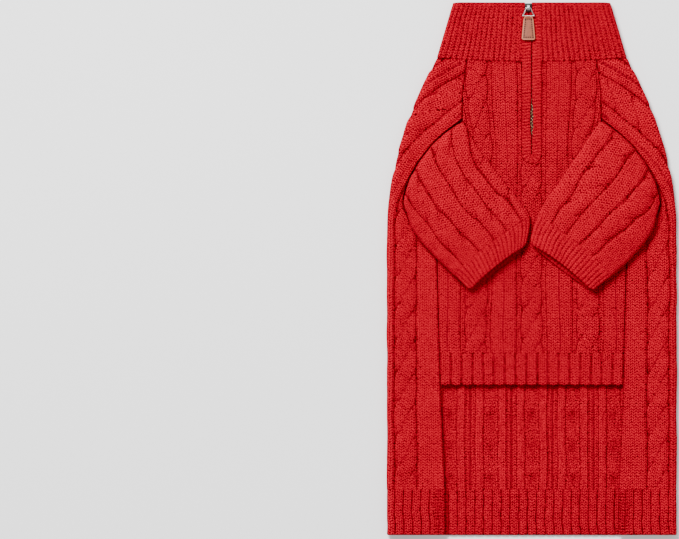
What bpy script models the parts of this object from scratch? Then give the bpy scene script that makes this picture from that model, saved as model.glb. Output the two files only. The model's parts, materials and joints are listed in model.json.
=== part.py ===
"""Dog sweater in cable knit, laid flat on its back panel with the belly side up.

The back panel is one wall that folds round at both sides and over the shoulders to the front. The
front panel closes the chest and belly, the sleeves are flattened tubes set into the armholes, and
the collar is a flattened tube that a zip splits at the front. Metres, +X to the wearer's right as
it lies, +Y towards the neck, +Z up, with the origin under the middle of the resting face.
"""

import math
from collections import namedtuple

import bmesh
import bpy
from mathutils import Vector

# ---- driving dimensions -------------------------------------------------------------------------
HALF_WIDTH = 0.1090
HEM_Y = -0.2000
COLLAR_TOP_Y = 0.1996
NECK_Y = 0.1580
SHOULDER_Y = 0.0250
SHOULDER_DROP = 0.0375
COLLAR_TOP_HALF_WIDTH = 0.0590

WALL = 0.0024
SEAM_GAP = 0.0003
FRONT_TOP = 0.0064
FOLD_RADIUS = 0.0040
FOLD_SPREAD = 0.0140

BACK_RIB_TOP_Y = -0.1660
FRONT_HEM_Y = -0.0874
FRONT_RIB_TOP_Y = -0.0634

NECK_DIP_FRONT = 0.0030
NECK_DIP_BACK = 0.0055
COLLAR_TOP_DIP_BACK = 0.0050
NECK_DIP_REACH = 0.0300

BAND_HALF_WIDTH = 0.0074
SLIT_HALF_WIDTH = 0.0006
SLIT_END_Y = 0.0860
NOTCH_HALF_WIDTH = 0.0032
NOTCH_DEPTH = 0.0075
ZIP_LEAN = -0.0026
ZIP_LEAN_START_Y = 0.1690
BAND_ROWS = 14
BAND_ROW_BIAS = 1.6
TAPE_WIDTH = 0.0080
TAPE_WALL = 0.0010
TAPE_FOOT_Y = 0.0850
TAPE_TOP_Y = 0.1915

CUFF_START = 0.752
SLEEVE_HALF_HEIGHT = 0.0029
SLEEVE_CLEARANCE = 0.0006
SLEEVE_PUFF = 0.0024
PUFF_START = 0.25
PUFF_SPREAD = 0.62
PUFF_FLATNESS = 0.8
ARMHOLE_TOP_INSET = 0.85
UNDERARM_INSET = 0.92

SLIDER_Y = 0.1955
SLIDER_WIDTH = 0.0054
SLIDER_LENGTH = 0.0072
SLIDER_PLATE = 0.0008
SLIDER_LOWER_LENGTH = 0.0060
SLIDER_LOWER_SHIFT = 0.0006
SLIDER_NECK_WIDTH = 0.0012
SLIDER_NECK_LENGTH = 0.0020
SLIDER_NECK_SHIFT = 0.0022
BRIDGE_RADIUS = 0.0019
BRIDGE_HALF_FOOT = 0.0021
BRIDGE_WIDTH = 0.0014
OVERLAP = 0.0001
HINGE_Z = 0.0081
WIRE_RADIUS = 0.00045
RING_TOP_WIDTH = 0.0030
RING_WIDTH = 0.0082
RING_LENGTH = 0.0060
RING_CORNER = 0.0008
TAB_TOP_WIDTH = 0.0054
TAB_SHOULDER_WIDTH = 0.0076
TAB_WIDTH = 0.0104
TAB_NECK = 0.0012
TAB_SHOULDER = 0.0028
TAB_LENGTH = 0.0180
TAB_LIFT = 0.0004
TAB_THICKNESS = 0.0019
TAB_LOOP_RADIUS = 0.00135
TAB_CORNER = 0.0014
RUNNING_GAP = 0.0003

# Rows of the front layer, from hem to neck: where the wrapped back panel ends and where the front
# panel ends, both measured from the centre line.
Row = namedtuple("Row", "y back_edge front_edge")
FRONT_ROWS = (
    Row(-0.2000, 0.0647, 0.0640),
    Row(-0.1660, 0.0649, 0.0643),
    Row(-0.0874, 0.0686, 0.0683),
    Row(-0.0200, 0.0704, 0.0701),
    Row(0.0080, 0.0712, 0.0706),
    Row(0.0140, 0.0765, 0.0684),
    Row(0.0260, 0.0856, 0.0643),
    Row(0.0350, 0.0913, 0.0619),
    Row(0.0430, 0.0951, 0.0600),
    Row(0.0500, 0.0966, 0.0585),
    Row(0.0570, 0.0957, 0.0573),
    Row(0.0690, 0.0915, 0.0555),
    Row(0.0800, 0.0852, 0.0541),
    Row(0.0920, 0.0762, 0.0530),
    Row(0.1010, 0.0668, 0.0524),
    Row(0.1080, 0.0578, 0.0520),
    Row(0.1120, 0.0522, 0.0518),
    Row(0.1320, 0.0518, 0.0515),
    Row(0.1580, 0.0486, 0.0483),
)
UNDERARM_Y = 0.0080
ARMHOLE_TOP_Y = 0.1120
SLEEVE_OUTER_Y = 0.0430

# Each sleeve's folded edges in plan, from armhole to cuff, measured outward from the centre line.
# The cuffs meet off the centre: the right one lies a little further across.
Edge = namedtuple("Edge", "x y")
Fold = namedtuple("Fold", "side upper lower")
LEFT_SLEEVE = Fold(
    side=-1,
    upper=(
        Edge(0.0518, 0.1112),
        Edge(0.0373, 0.0866),
        Edge(0.0186, 0.0619),
        Edge(0.0016, 0.0392),
        Edge(0.0038, 0.0173),
    ),
    lower=(
        Edge(0.0947, 0.0424),
        Edge(0.0870, 0.0248),
        Edge(0.0718, 0.0076),
        Edge(0.0587, -0.0051),
        Edge(0.0470, -0.0170),
    ),
)
RIGHT_SLEEVE = Fold(
    side=1,
    upper=(
        Edge(0.0518, 0.1112),
        Edge(0.0373, 0.0896),
        Edge(0.0190, 0.0632),
        Edge(0.0042, 0.0405),
        Edge(-0.0022, 0.0188),
    ),
    lower=(
        Edge(0.0947, 0.0424),
        Edge(0.0885, 0.0249),
        Edge(0.0745, 0.0072),
        Edge(0.0605, -0.0056),
        Edge(0.0458, -0.0175),
    ),
)

# Stations along the sleeve: how far each layer has run from the armhole, as a share of the sleeve,
# and how much of its full height it has reached.
Station = namedtuple("Station", "top_run top_rise under_run under_rise")
SLEEVE_STATIONS = (
    Station(0.000, -0.42, 0.000, -1.00),
    Station(0.000, 0.00, 0.000, -0.35),
    Station(0.010, 0.46, 0.000, 0.55),
    Station(0.028, 0.76, 0.025, 1.00),
    Station(0.065, 0.93, 0.070, 1.00),
    Station(0.130, 1.00, 0.140, 1.00),
    Station(0.230, 1.00, 0.240, 1.00),
    Station(0.350, 1.00, 0.350, 1.00),
    Station(0.480, 1.00, 0.480, 1.00),
    Station(0.620, 1.00, 0.620, 1.00),
    Station(0.715, 1.00, 0.715, 1.00),
    Station(CUFF_START, 1.00, CUFF_START, 1.00),
)
CUFF_SEAM = 0.0062
CUFF_STATIONS = (
    Station(CUFF_START + CUFF_SEAM, 1.00, CUFF_START + CUFF_SEAM, 1.00),
    Station(0.790, 1.00, 0.790, 1.00),
    Station(0.850, 1.00, 0.850, 1.00),
    Station(0.925, 1.00, 0.925, 1.00),
    Station(1.000, 1.00, 1.000, 1.00),
)

BACK_ROW_YS = (-0.165, -0.140, -0.114, -0.087, -0.063, -0.035, -0.010, 0.008, 0.014, 0.026, 0.035,
               0.043, 0.050, 0.057, 0.069, 0.080, 0.092, 0.101, 0.108, 0.112, 0.122, 0.132, 0.145,
               NECK_Y)
FRONT_ROW_YS = (-0.063, -0.035, -0.010, 0.008, 0.014, 0.026, 0.035, 0.043, 0.050, 0.057, 0.069,
                0.080, 0.092, 0.101, 0.108, 0.112, 0.122, 0.132, 0.145, NECK_Y)
ARC_STEPS = 5
FRONT_STEPS = 3
UNDER_STEPS = 8
FRONT_COLUMNS = 10
SLEEVE_COLUMNS = 10
ARMHOLE_STEPS = 400
UNDER_START_STEPS = 200


# ---- helpers ------------------------------------------------------------------------------------
def clear_scene():
    """Remove the startup objects."""
    for obj in list(bpy.data.objects):
        bpy.data.objects.remove(obj, do_unlink=True)


def new_collection(name):
    """A collection linked to the scene."""
    collection = bpy.data.collections.new(name)
    bpy.context.scene.collection.children.link(collection)
    return collection


def principled(name, color, roughness, metallic=0.0):
    """A plain material with the piece's colour."""
    material = bpy.data.materials.new(name)
    material.use_nodes = True
    shader = material.node_tree.nodes["Principled BSDF"]
    shader.inputs["Base Color"].default_value = (*color, 1.0)
    shader.inputs["Roughness"].default_value = roughness
    shader.inputs["Metallic"].default_value = metallic
    return material


def smoothstep(value):
    """0 to 1 with flat ends."""
    value = min(max(value, 0.0), 1.0)
    return value * value * (3.0 - 2.0 * value)


def mix(a, b, share):
    """Straight blend of two numbers or vectors."""
    return a * (1.0 - share) + b * share


def through(knots, values, at):
    """Value at a place on the smooth curve through knots that rise, by cubic Hermite pieces."""
    last = len(knots) - 1
    slopes = []
    for i in range(last + 1):
        low, high = max(i - 1, 0), min(i + 1, last)
        slopes.append((values[high] - values[low]) / (knots[high] - knots[low]))
    i = 0
    while i < last - 1 and at > knots[i + 1]:
        i += 1
    span = knots[i + 1] - knots[i]
    t = (at - knots[i]) / span
    start = values[i] * (1 + 2 * t) * (1 - t) ** 2 + slopes[i] * span * t * (1 - t) ** 2
    end = values[i + 1] * t * t * (3 - 2 * t) - slopes[i + 1] * span * t * t * (1 - t)
    return start + end


def resampled(points, count):
    """count + 1 points spaced evenly along a polyline."""
    lengths = [0.0]
    for a, b in zip(points, points[1:]):
        lengths.append(lengths[-1] + (b - a).length)
    out = []
    for k in range(count + 1):
        at = lengths[-1] * k / count
        i = 0
        while i < len(points) - 2 and at > lengths[i + 1]:
            i += 1
        share = (at - lengths[i]) / (lengths[i + 1] - lengths[i])
        out.append(points[i].lerp(points[i + 1], min(share, 1.0)))
    return out


def add_mesh(name, bm, material, collection):
    """An object from a bmesh, with its own material."""
    mesh = bpy.data.meshes.new(name)
    bm.to_mesh(mesh)
    bm.free()
    mesh.materials.append(material)
    obj = bpy.data.objects.new(name, mesh)
    collection.objects.link(obj)
    return obj


def grid_mesh(rows, closed=False):
    """A bmesh of quads through rows of points; closed joins the ends of each row."""
    bm = bmesh.new()
    grid = [[bm.verts.new(point) for point in row] for row in rows]
    across = len(rows[0]) if closed else len(rows[0]) - 1
    for near, far in zip(grid, grid[1:]):
        for i in range(across):
            j = (i + 1) % len(near)
            bm.faces.new((near[i], near[j], far[j], far[i]))
    return bm


def knit_wall(obj, thickness=WALL):
    """Thicken an outer surface inward into a wall of cloth."""
    wall = obj.modifiers.new("wall", "SOLIDIFY")
    wall.thickness = thickness
    wall.offset = -1.0
    obj.data.shade_smooth()
    return obj


def mesh_from_curve(curve, location=(0.0, 0.0, 0.0)):
    """A welded mesh of a filled and extruded curve."""
    temporary = bpy.data.objects.new("curve", curve)
    temporary.location = location
    bpy.context.scene.collection.objects.link(temporary)
    bpy.context.view_layer.update()
    graph = bpy.context.evaluated_depsgraph_get()
    mesh = bpy.data.meshes.new_from_object(temporary.evaluated_get(graph))
    mesh.transform(temporary.matrix_world)
    bpy.data.objects.remove(temporary, do_unlink=True)
    bm = bmesh.new()
    bm.from_mesh(mesh)
    bpy.data.meshes.remove(mesh)
    bmesh.ops.remove_doubles(bm, verts=bm.verts, dist=1e-6)
    bmesh.ops.recalc_face_normals(bm, faces=bm.faces)
    return bm


def flat_outline(name, outlines, thickness):
    """A filled 2D curve through closed outlines, extruded to a plate."""
    curve = bpy.data.curves.new(name, "CURVE")
    curve.dimensions = "2D"
    curve.fill_mode = "BOTH"
    curve.extrude = thickness / 2
    for outline in outlines:
        spline = curve.splines.new("POLY")
        spline.points.add(len(outline) - 1)
        for point, (x, y) in zip(spline.points, outline):
            point.co = (x, y, 0.0, 1.0)
        spline.use_cyclic_u = True
    return curve


def arc(centre, radius, start, end, steps):
    """Points on an arc in the plane, angles in degrees."""
    points = []
    for k in range(steps + 1):
        angle = math.radians(start + (end - start) * k / steps)
        points.append((centre[0] + radius * math.cos(angle), centre[1] + radius * math.sin(angle)))
    return points


def boolean(obj, operation, other):
    """Join, cut or intersect with another mesh, which stays as a hidden guide."""
    modifier = obj.modifiers.new(operation.lower(), "BOOLEAN")
    modifier.operation = operation
    modifier.object = other
    modifier.solver = "EXACT"
    other.hide_render = True
    other.display_type = "WIRE"


# ---- the shape of the laid garment --------------------------------------------------------------
def body_half_width(y):
    """Half the width of the body: straight sides, then shoulders that fall off as a parabola."""
    rise = max(y - SHOULDER_Y, 0.0) / (NECK_Y - SHOULDER_Y)
    return HALF_WIDTH - SHOULDER_DROP * rise * rise


def collar_half_width(y):
    """Half the width of the collar, which narrows to its top."""
    share = (y - NECK_Y) / (COLLAR_TOP_Y - NECK_Y)
    return mix(HALF_WIDTH - SHOULDER_DROP, COLLAR_TOP_HALF_WIDTH, share)


def row_value(column, y):
    """Value of one column of the front rows at y. Straight pieces keep the armhole convex."""
    rows = FRONT_ROWS
    i = 0
    while i < len(rows) - 2 and y > rows[i + 1].y:
        i += 1
    share = (y - rows[i].y) / (rows[i + 1].y - rows[i].y)
    return mix(getattr(rows[i], column), getattr(rows[i + 1], column), share)


def front_height(half_width, x):
    """Height of the front layer: flat over the middle, rising to the rounded side folds."""
    inside = half_width - abs(x) - FOLD_RADIUS
    return mix(2 * FOLD_RADIUS, FRONT_TOP, smoothstep(inside / FOLD_SPREAD))


def neck_dip(x, on_back):
    """How far the neck seam hangs below its ends at the side folds."""
    share = 1.0 - (x / (HALF_WIDTH - SHOULDER_DROP)) ** 2
    return (NECK_DIP_BACK if on_back else NECK_DIP_FRONT) * max(share, 0.0)


def wrapped_section(half_width, edge):
    """Outer face of a wall folded round both sides: (x, z, lies under) from right edge to left."""
    fold_x = half_width - FOLD_RADIUS
    half = []
    for k in range(FRONT_STEPS):
        x = mix(edge, fold_x, k / FRONT_STEPS)
        half.append((x, front_height(half_width, x), False))
    for k in range(ARC_STEPS + 1):
        angle = math.pi * (0.5 - k / ARC_STEPS)
        x = fold_x + FOLD_RADIUS * math.cos(angle)
        half.append((x, FOLD_RADIUS * (1 + math.sin(angle)), angle < 0))
    under = [(fold_x * (1 - 2 * k / UNDER_STEPS), 0.0, True) for k in range(1, UNDER_STEPS)]
    mirrored = [(-x, z, below) for x, z, below in reversed(half)]
    return half + under + mirrored


def wrapped_rows(stations):
    """Rows of a wrapped piece from stations of (y, half width, edge, front dip, back dip)."""
    rows = []
    for y, half_width, edge, front_dip, back_dip in stations:
        row = []
        for x, z, below in wrapped_section(half_width, edge):
            share = max(1.0 - (x / half_width) ** 2, 0.0)
            row.append((x, y - (back_dip if below else front_dip) * share, z))
        rows.append(row)
    return rows


def dip_share(y):
    """How much of the neck's dip a row below the neck seam takes up."""
    return smoothstep(1.0 - (NECK_Y - y) / NECK_DIP_REACH)


# ---- body pieces --------------------------------------------------------------------------------
def build_back_panel(material, collection):
    """Back panel, from the hem rib to the neck, with its wings and shoulders on the front."""
    stations = []
    for y in BACK_ROW_YS:
        share = dip_share(y)
        at = y - SEAM_GAP / 2 if y == NECK_Y else y
        stations.append((at, body_half_width(y), row_value("back_edge", y),
                         NECK_DIP_FRONT * share, NECK_DIP_BACK * share))
    stations[0] = (BACK_RIB_TOP_Y + SEAM_GAP, *stations[0][1:])
    obj = add_mesh("back_panel", grid_mesh(wrapped_rows(stations)), material, collection)
    return knit_wall(obj)


def build_back_hem_rib(material, collection):
    """Ribbed rear hem, wrapped like the back panel."""
    ys = (HEM_Y, (HEM_Y + BACK_RIB_TOP_Y) / 2, BACK_RIB_TOP_Y)
    stations = [(y, HALF_WIDTH, row_value("back_edge", y), 0.0, 0.0) for y in ys]
    obj = add_mesh("back_hem_rib", grid_mesh(wrapped_rows(stations)), material, collection)
    return knit_wall(obj)


def front_rows(ys):
    """Rows of the front layer between the two seams."""
    rows = []
    for y in ys:
        edge = row_value("front_edge", y)
        row = []
        for k in range(FRONT_COLUMNS + 1):
            x = edge * (2 * k / FRONT_COLUMNS - 1)
            dip = neck_dip(x, on_back=False) * dip_share(y)
            row.append((x, y - dip, front_height(body_half_width(y), x)))
        rows.append(row)
    return rows


def build_front_panel(material, collection, cutters):
    """Chest and belly panel, slotted for the zip band."""
    rows = front_rows(FRONT_ROW_YS)
    rows[0] = [(x, FRONT_RIB_TOP_Y + SEAM_GAP, z) for x, y, z in rows[0]]
    rows[-1] = [(x, y - SEAM_GAP / 2, z) for x, y, z in rows[-1]]
    panel = knit_wall(add_mesh("front_panel", grid_mesh(rows), material, collection))
    reach = BAND_HALF_WIDTH + SEAM_GAP
    top_y = COLLAR_TOP_Y
    outline = arc((0.0, SLIT_END_Y), reach, 180, 360, 10) + [(reach, top_y), (-reach, top_y)]
    slot = mesh_from_curve(flat_outline("slot", [outline], 6 * WALL), (0.0, 0.0, FRONT_TOP))
    boolean(panel, "DIFFERENCE", add_mesh("zip_slot_cutter", slot, material, cutters))
    return panel


def build_front_hem_rib(material, collection):
    """Ribbed hem of the belly."""
    rows = front_rows((FRONT_HEM_Y, (FRONT_HEM_Y + FRONT_RIB_TOP_Y) / 2, FRONT_RIB_TOP_Y))
    return knit_wall(add_mesh("front_hem_rib", grid_mesh(rows), material, collection))


def build_collar(material, collection):
    """Turtleneck: a flattened tube whose front is open for the zip band."""
    stations = []
    edge = BAND_HALF_WIDTH + SEAM_GAP
    steps = 5
    for k in range(steps + 1):
        share = k / steps
        y = mix(NECK_Y + SEAM_GAP / 2, COLLAR_TOP_Y, share)
        back_dip = mix(NECK_DIP_BACK, COLLAR_TOP_DIP_BACK, share)
        stations.append((y, collar_half_width(y), edge, NECK_DIP_FRONT * (1 - share), back_dip))
    return knit_wall(add_mesh("collar", grid_mesh(wrapped_rows(stations)), material, collection))


# ---- sleeves ------------------------------------------------------------------------------------
def in_armhole(point):
    """Whether a plan point lies in the armhole's opening."""
    if not UNDERARM_Y < point.y < ARMHOLE_TOP_Y:
        return False
    return row_value("front_edge", point.y) < point.x < row_value("back_edge", point.y)


def edge_curve(edges, share):
    """Point on one of the sleeve's folded edges."""
    knots = [k / (len(edges) - 1) for k in range(len(edges))]
    x = through(knots, [edge.x for edge in edges], share)
    return Vector((x, through(knots, [edge.y for edge in edges], share)))


def armhole_arc(fold):
    """Outer arc of the armhole, from the shoulder down to where the sleeve's lower fold starts."""
    points = [edge_curve(fold.upper, 0.0)]
    for row in reversed(FRONT_ROWS):
        if SLEEVE_OUTER_Y <= row.y < ARMHOLE_TOP_Y:
            points.append(Vector((row.back_edge, row.y)))
    points[-1] = edge_curve(fold.lower, 0.0)
    return resampled(points, ARMHOLE_STEPS)


def patch_point(fold, arc_point, across, run):
    """Plan point of the sleeve: a patch between armhole arc, cuff line and the two folded edges."""
    upper, lower = edge_curve(fold.upper, run), edge_curve(fold.lower, run)
    cuff_line = mix(edge_curve(fold.upper, 1.0), edge_curve(fold.lower, 1.0), across)
    arm_line = mix(edge_curve(fold.upper, 0.0), edge_curve(fold.lower, 0.0), across)
    ends = mix(arc_point, cuff_line, run)
    return ends + mix(upper, lower, across) - mix(arm_line, cuff_line, run)


def under_start(fold, arc_point, across):
    """Where along the sleeve its under layer starts: the far side of the armhole's opening."""
    start = 0.0
    for k in range(1, UNDER_START_STEPS):
        run = CUFF_START * k / UNDER_START_STEPS
        if in_armhole(patch_point(fold, arc_point, across, run)):
            start = run
    return start


def ring_profile(width):
    """Section of a flattened tube as (across, height) pairs, top layer first, height -1 to 1."""
    reach = SLEEVE_HALF_HEIGHT / width
    arc_points = []
    for k in range(ARC_STEPS + 1):
        angle = math.pi * (0.5 - k / ARC_STEPS)
        arc_points.append((reach * (1 - math.cos(angle)), math.sin(angle)))
    flat = [mix(reach, 1 - reach, k / SLEEVE_COLUMNS) for k in range(1, SLEEVE_COLUMNS)]
    far = [(1 - across, height) for across, height in arc_points]
    near = [(across, -height) for across, height in arc_points]
    top = [(across, 1.0) for across in flat]
    under = [(across, -1.0) for across in reversed(flat)]
    return top + far + under + near


def sleeve_rings(fold, stations):
    """Rings of the sleeve's outer face at the given stations."""
    arc_points = armhole_arc(fold)
    rings = []
    for station in stations:
        upper, lower = (edge_curve(edges, station.top_run) for edges in (fold.upper, fold.lower))
        ring = []
        for across, height in ring_profile((lower - upper).length):
            arc_point = arc_points[round(across * ARMHOLE_STEPS)]
            under_run = station.under_run
            if under_run <= CUFF_START:
                first = under_start(fold, arc_point, across)
                under_run = mix(first, CUFF_START, under_run / CUFF_START)
            top = patch_point(fold, arc_point, across, station.top_run)
            under = patch_point(fold, arc_point, across, under_run)
            ring.append(ring_point(station, across, height, top, under))
        rings.append(ring)
    return rings


def sleeve_height(station, across):
    """Height of the sleeve's top face over the front layer, fullest along the middle."""
    middle = (4 * across * (1 - across)) ** PUFF_FLATNESS
    swell = math.sin(math.pi * (PUFF_START + PUFF_SPREAD * station.top_run))
    return SLEEVE_CLEARANCE + 2 * SLEEVE_HALF_HEIGHT + SLEEVE_PUFF * middle * swell


def ring_point(station, across, height, top, under):
    """One point of a ring, between its top layer and its under layer."""
    share = (height + 1) / 2
    top_base = front_height(body_half_width(top.y), top.x)
    under_base = front_height(body_half_width(under.y), under.x)
    full = sleeve_height(station, across)
    if station.top_rise < 0:
        full = WALL / abs(SLEEVE_STATIONS[0].top_rise)
    low = SLEEVE_CLEARANCE if station.under_rise >= 0 else WALL
    top_z = top_base + full * station.top_rise
    under_z = under_base + low * station.under_rise
    plan = mix(under, top, share)
    return Vector((plan.x, plan.y, mix(under_z, top_z, share)))


def seated(point):
    """The point moved into the armhole's opening, clear of both panels by the seam gap."""
    middle = (UNDERARM_Y + ARMHOLE_TOP_Y) / 2
    y = mix(middle, point.y, ARMHOLE_TOP_INSET if point.y > middle else UNDERARM_INSET)
    low, high = row_value("front_edge", point.y), row_value("back_edge", point.y)
    share = min(max((point.x - low) / max(high - low, SEAM_GAP), 0.0), 1.0)
    # The opening narrows to a corner at both ends, where the wall needs more room.
    inner = row_value("front_edge", y) + 3 * SEAM_GAP
    outer = row_value("back_edge", y) - 3 * SEAM_GAP
    return Vector((mix(inner, outer, share), y, point.z))


def build_sleeve(name, fold, material, collection):
    """Short sleeve: rises out of its armhole, folds over and lies on the belly."""
    rings = sleeve_rings(fold, SLEEVE_STATIONS)
    for k in range(2):
        rings[k] = [seated(point) for point in rings[k]]
    return build_tube(name, rings, fold.side, material, collection)


def build_cuff(name, fold, material, collection):
    """Ribbed end of a sleeve, open at its mouth."""
    return build_tube(name, sleeve_rings(fold, CUFF_STATIONS), fold.side, material, collection)


def build_tube(name, rings, side, material, collection):
    """A tube of cloth through rings, mirrored for the left side."""
    rows = [[(side * p.x, p.y, p.z) for p in ring] for ring in rings]
    if side < 0:
        rows = [list(reversed(row)) for row in rows]
    bm = grid_mesh(rows, closed=True)
    bmesh.ops.reverse_faces(bm, faces=bm.faces)
    return knit_wall(add_mesh(name, bm, material, collection))


# ---- zip ----------------------------------------------------------------------------------------
def zip_x(y):
    """Centre of the zip, which leans a little to one side at the collar."""
    return ZIP_LEAN * smoothstep((y - ZIP_LEAN_START_Y) / (COLLAR_TOP_Y - ZIP_LEAN_START_Y))


def slit_half_width(y):
    """Half the slit between the bands, opening to a notch at the collar's top."""
    share = max(y - (COLLAR_TOP_Y - NOTCH_DEPTH), 0.0) / NOTCH_DEPTH
    return mix(SLIT_HALF_WIDTH, NOTCH_HALF_WIDTH, share ** 1.5)


def build_zip_band(material, collection):
    """Knit band down one side of the slit, round its foot and up the other."""
    shares = [(k / BAND_ROWS) ** BAND_ROW_BIAS for k in range(BAND_ROWS + 1)]
    ys = [mix(COLLAR_TOP_Y, SLIT_END_Y, share) for share in shares]
    rows = []
    for y in ys:
        inner, outer = zip_x(y) - slit_half_width(y), -BAND_HALF_WIDTH
        rows.append([(mix(inner, outer, k / 2), y, FRONT_TOP) for k in range(3)])
    foot_steps = 10
    for k in range(1, foot_steps):
        angle = math.pi * (1 + k / foot_steps)
        turn = Vector((math.cos(angle), math.sin(angle)))
        row = []
        for j in range(3):
            radius = mix(SLIT_HALF_WIDTH, BAND_HALF_WIDTH, j / 2)
            row.append((radius * turn.x, SLIT_END_Y + radius * turn.y, FRONT_TOP))
        rows.append(row)
    for y in reversed(ys):
        inner, outer = zip_x(y) + slit_half_width(y), BAND_HALF_WIDTH
        rows.append([(mix(inner, outer, k / 2), y, FRONT_TOP) for k in range(3)])
    bm = grid_mesh(rows)
    return knit_wall(add_mesh("zip_band", bm, material, collection))


def build_zip_tape(name, side, material, collection):
    """Woven tape of the zip, under one side of the band."""
    top_z = FRONT_TOP - WALL - SEAM_GAP
    steps = 8
    rows = []
    for k in range(steps + 1):
        y = mix(TAPE_FOOT_Y, TAPE_TOP_Y, k / steps)
        inner = zip_x(y) + side * SEAM_GAP / 2
        row = [(inner, y, top_z), (inner + side * TAPE_WIDTH, y, top_z)]
        rows.append(row if side > 0 else list(reversed(row)))
    bm = grid_mesh(rows)
    return knit_wall(add_mesh(name, bm, material, collection), TAPE_WALL)


def box_bmesh(size, centre):
    """A box of the given size."""
    bm = bmesh.new()
    bmesh.ops.create_cube(bm, size=1.0)
    bmesh.ops.scale(bm, vec=size, verts=bm.verts)
    bmesh.ops.translate(bm, vec=centre, verts=bm.verts)
    return bm


def build_zip_slider(material, collection, cutters):
    """Slider: a plate on the bands, a plate under them, a neck between, and a bridge on top."""
    x = zip_x(SLIDER_Y)
    plate_z = FRONT_TOP + SEAM_GAP
    low_z = FRONT_TOP - WALL - SEAM_GAP - SLIDER_PLATE
    neck_height = plate_z - low_z
    plate = box_bmesh((SLIDER_WIDTH, SLIDER_LENGTH, SLIDER_PLATE),
                      (x, SLIDER_Y, plate_z + SLIDER_PLATE / 2))
    neck = box_bmesh((SLIDER_NECK_WIDTH, SLIDER_NECK_LENGTH, neck_height),
                     (x, SLIDER_Y + SLIDER_NECK_SHIFT, low_z + neck_height / 2 + OVERLAP))
    lower = box_bmesh((SLIDER_WIDTH, SLIDER_LOWER_LENGTH, SLIDER_PLATE),
                      (x, SLIDER_Y + SLIDER_LOWER_SHIFT, low_z + SLIDER_PLATE / 2))
    foot = plate_z + SLIDER_PLATE - HINGE_Z - OVERLAP
    profile = [(-BRIDGE_HALF_FOOT, foot)]
    profile += arc((0.0, 0.0), BRIDGE_RADIUS, 160, 20, 8)
    profile += [(BRIDGE_HALF_FOOT, foot)]
    eye = list(reversed(arc((0.0, 0.0), WIRE_RADIUS + RUNNING_GAP, 0, 330, 11)))
    bridge = mesh_from_curve(flat_outline("bridge", [profile, eye], BRIDGE_WIDTH))
    stand_profile_up(bridge, Vector((x, SLIDER_Y, HINGE_Z)))
    slider = add_mesh("zip_slider", plate, material, collection)
    for name, piece in (("slider_neck", neck), ("slider_lower", lower), ("slider_bridge", bridge)):
        boolean(slider, "UNION", add_mesh(name, piece, material, cutters))
    return slider


def stand_profile_up(bm, centre):
    """Turn a plate drawn in X and Y so that it lies in Y and Z, and move it to its place."""
    for vert in bm.verts:
        x, y, z = vert.co
        vert.co = Vector((z, x, y)) + centre
    bmesh.ops.recalc_face_normals(bm, faces=bm.faces)


def build_pull_ring(material, collection):
    """Closed wire ring: a short bar through the bridge, splayed legs and a wide crossbar."""
    half_top, half_wide, corner = RING_TOP_WIDTH / 2, RING_WIDTH / 2, RING_CORNER
    outline = [(-half_top + corner, 0.0), (half_top - corner, 0.0), (half_top, -corner)]
    outline += [(half_wide, -RING_LENGTH + corner), (half_wide - corner, -RING_LENGTH)]
    outline += [(-half_wide + corner, -RING_LENGTH), (-half_wide, -RING_LENGTH + corner)]
    outline += [(-half_top, -corner)]
    curve = bpy.data.curves.new("pull_ring", "CURVE")
    curve.dimensions = "3D"
    curve.bevel_depth = WIRE_RADIUS
    curve.bevel_resolution = 2
    spline = curve.splines.new("POLY")
    spline.points.add(len(outline) - 1)
    for point, (px, py) in zip(spline.points, outline):
        point.co = (px, py, 0.0, 1.0)
    spline.use_cyclic_u = True
    curve.materials.append(material)
    ring = bpy.data.objects.new("pull_ring", curve)
    ring.location = (zip_x(SLIDER_Y), SLIDER_Y, HINGE_Z)
    collection.objects.link(ring)
    return ring


def tab_outline():
    """Outline of the tab in plan, from the ring's crossbar down."""
    half_top, half_wide = TAB_TOP_WIDTH / 2, TAB_WIDTH / 2
    right = [(half_top, 2 * TAB_LOOP_RADIUS), (half_top, -TAB_NECK)]
    right += [(TAB_SHOULDER_WIDTH / 2, -TAB_SHOULDER)]
    right += arc((half_wide - TAB_CORNER, TAB_CORNER - TAB_LENGTH), TAB_CORNER, 5, -90, 5)
    return right + [(-px, py) for px, py in reversed(right)]


def tab_profile():
    """Section of the tab along its length: a loop round the crossbar, then the flat tab."""
    half = TAB_THICKNESS / 2
    middle = FRONT_TOP + TAB_LIFT + half - HINGE_Z
    profile = arc((0.0, 0.0), TAB_LOOP_RADIUS, -150, 150, 12)
    profile += [(-2 * TAB_LOOP_RADIUS, middle + half), (-TAB_LENGTH - OVERLAP, middle + half)]
    profile += [(-TAB_LENGTH - OVERLAP, middle - half), (-2 * TAB_LOOP_RADIUS, middle - half)]
    return profile


def build_pull_tab(material, collection, cutters):
    """Leather tab, wrapped round the ring's crossbar and closed on itself."""
    bar = Vector((zip_x(SLIDER_Y), SLIDER_Y - RING_LENGTH, HINGE_Z))
    plate = mesh_from_curve(flat_outline("tab_outline", [tab_outline()], 4 * TAB_LOOP_RADIUS), bar)
    tab = add_mesh("pull_tab", plate, material, collection)
    eye = list(reversed(arc((0.0, 0.0), WIRE_RADIUS + RUNNING_GAP, 0, 330, 11)))
    side = mesh_from_curve(flat_outline("tab_profile", [tab_profile(), eye], 2 * TAB_WIDTH))
    stand_profile_up(side, bar)
    boolean(tab, "INTERSECT", add_mesh("tab_profile", side, material, cutters))
    return tab


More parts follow.
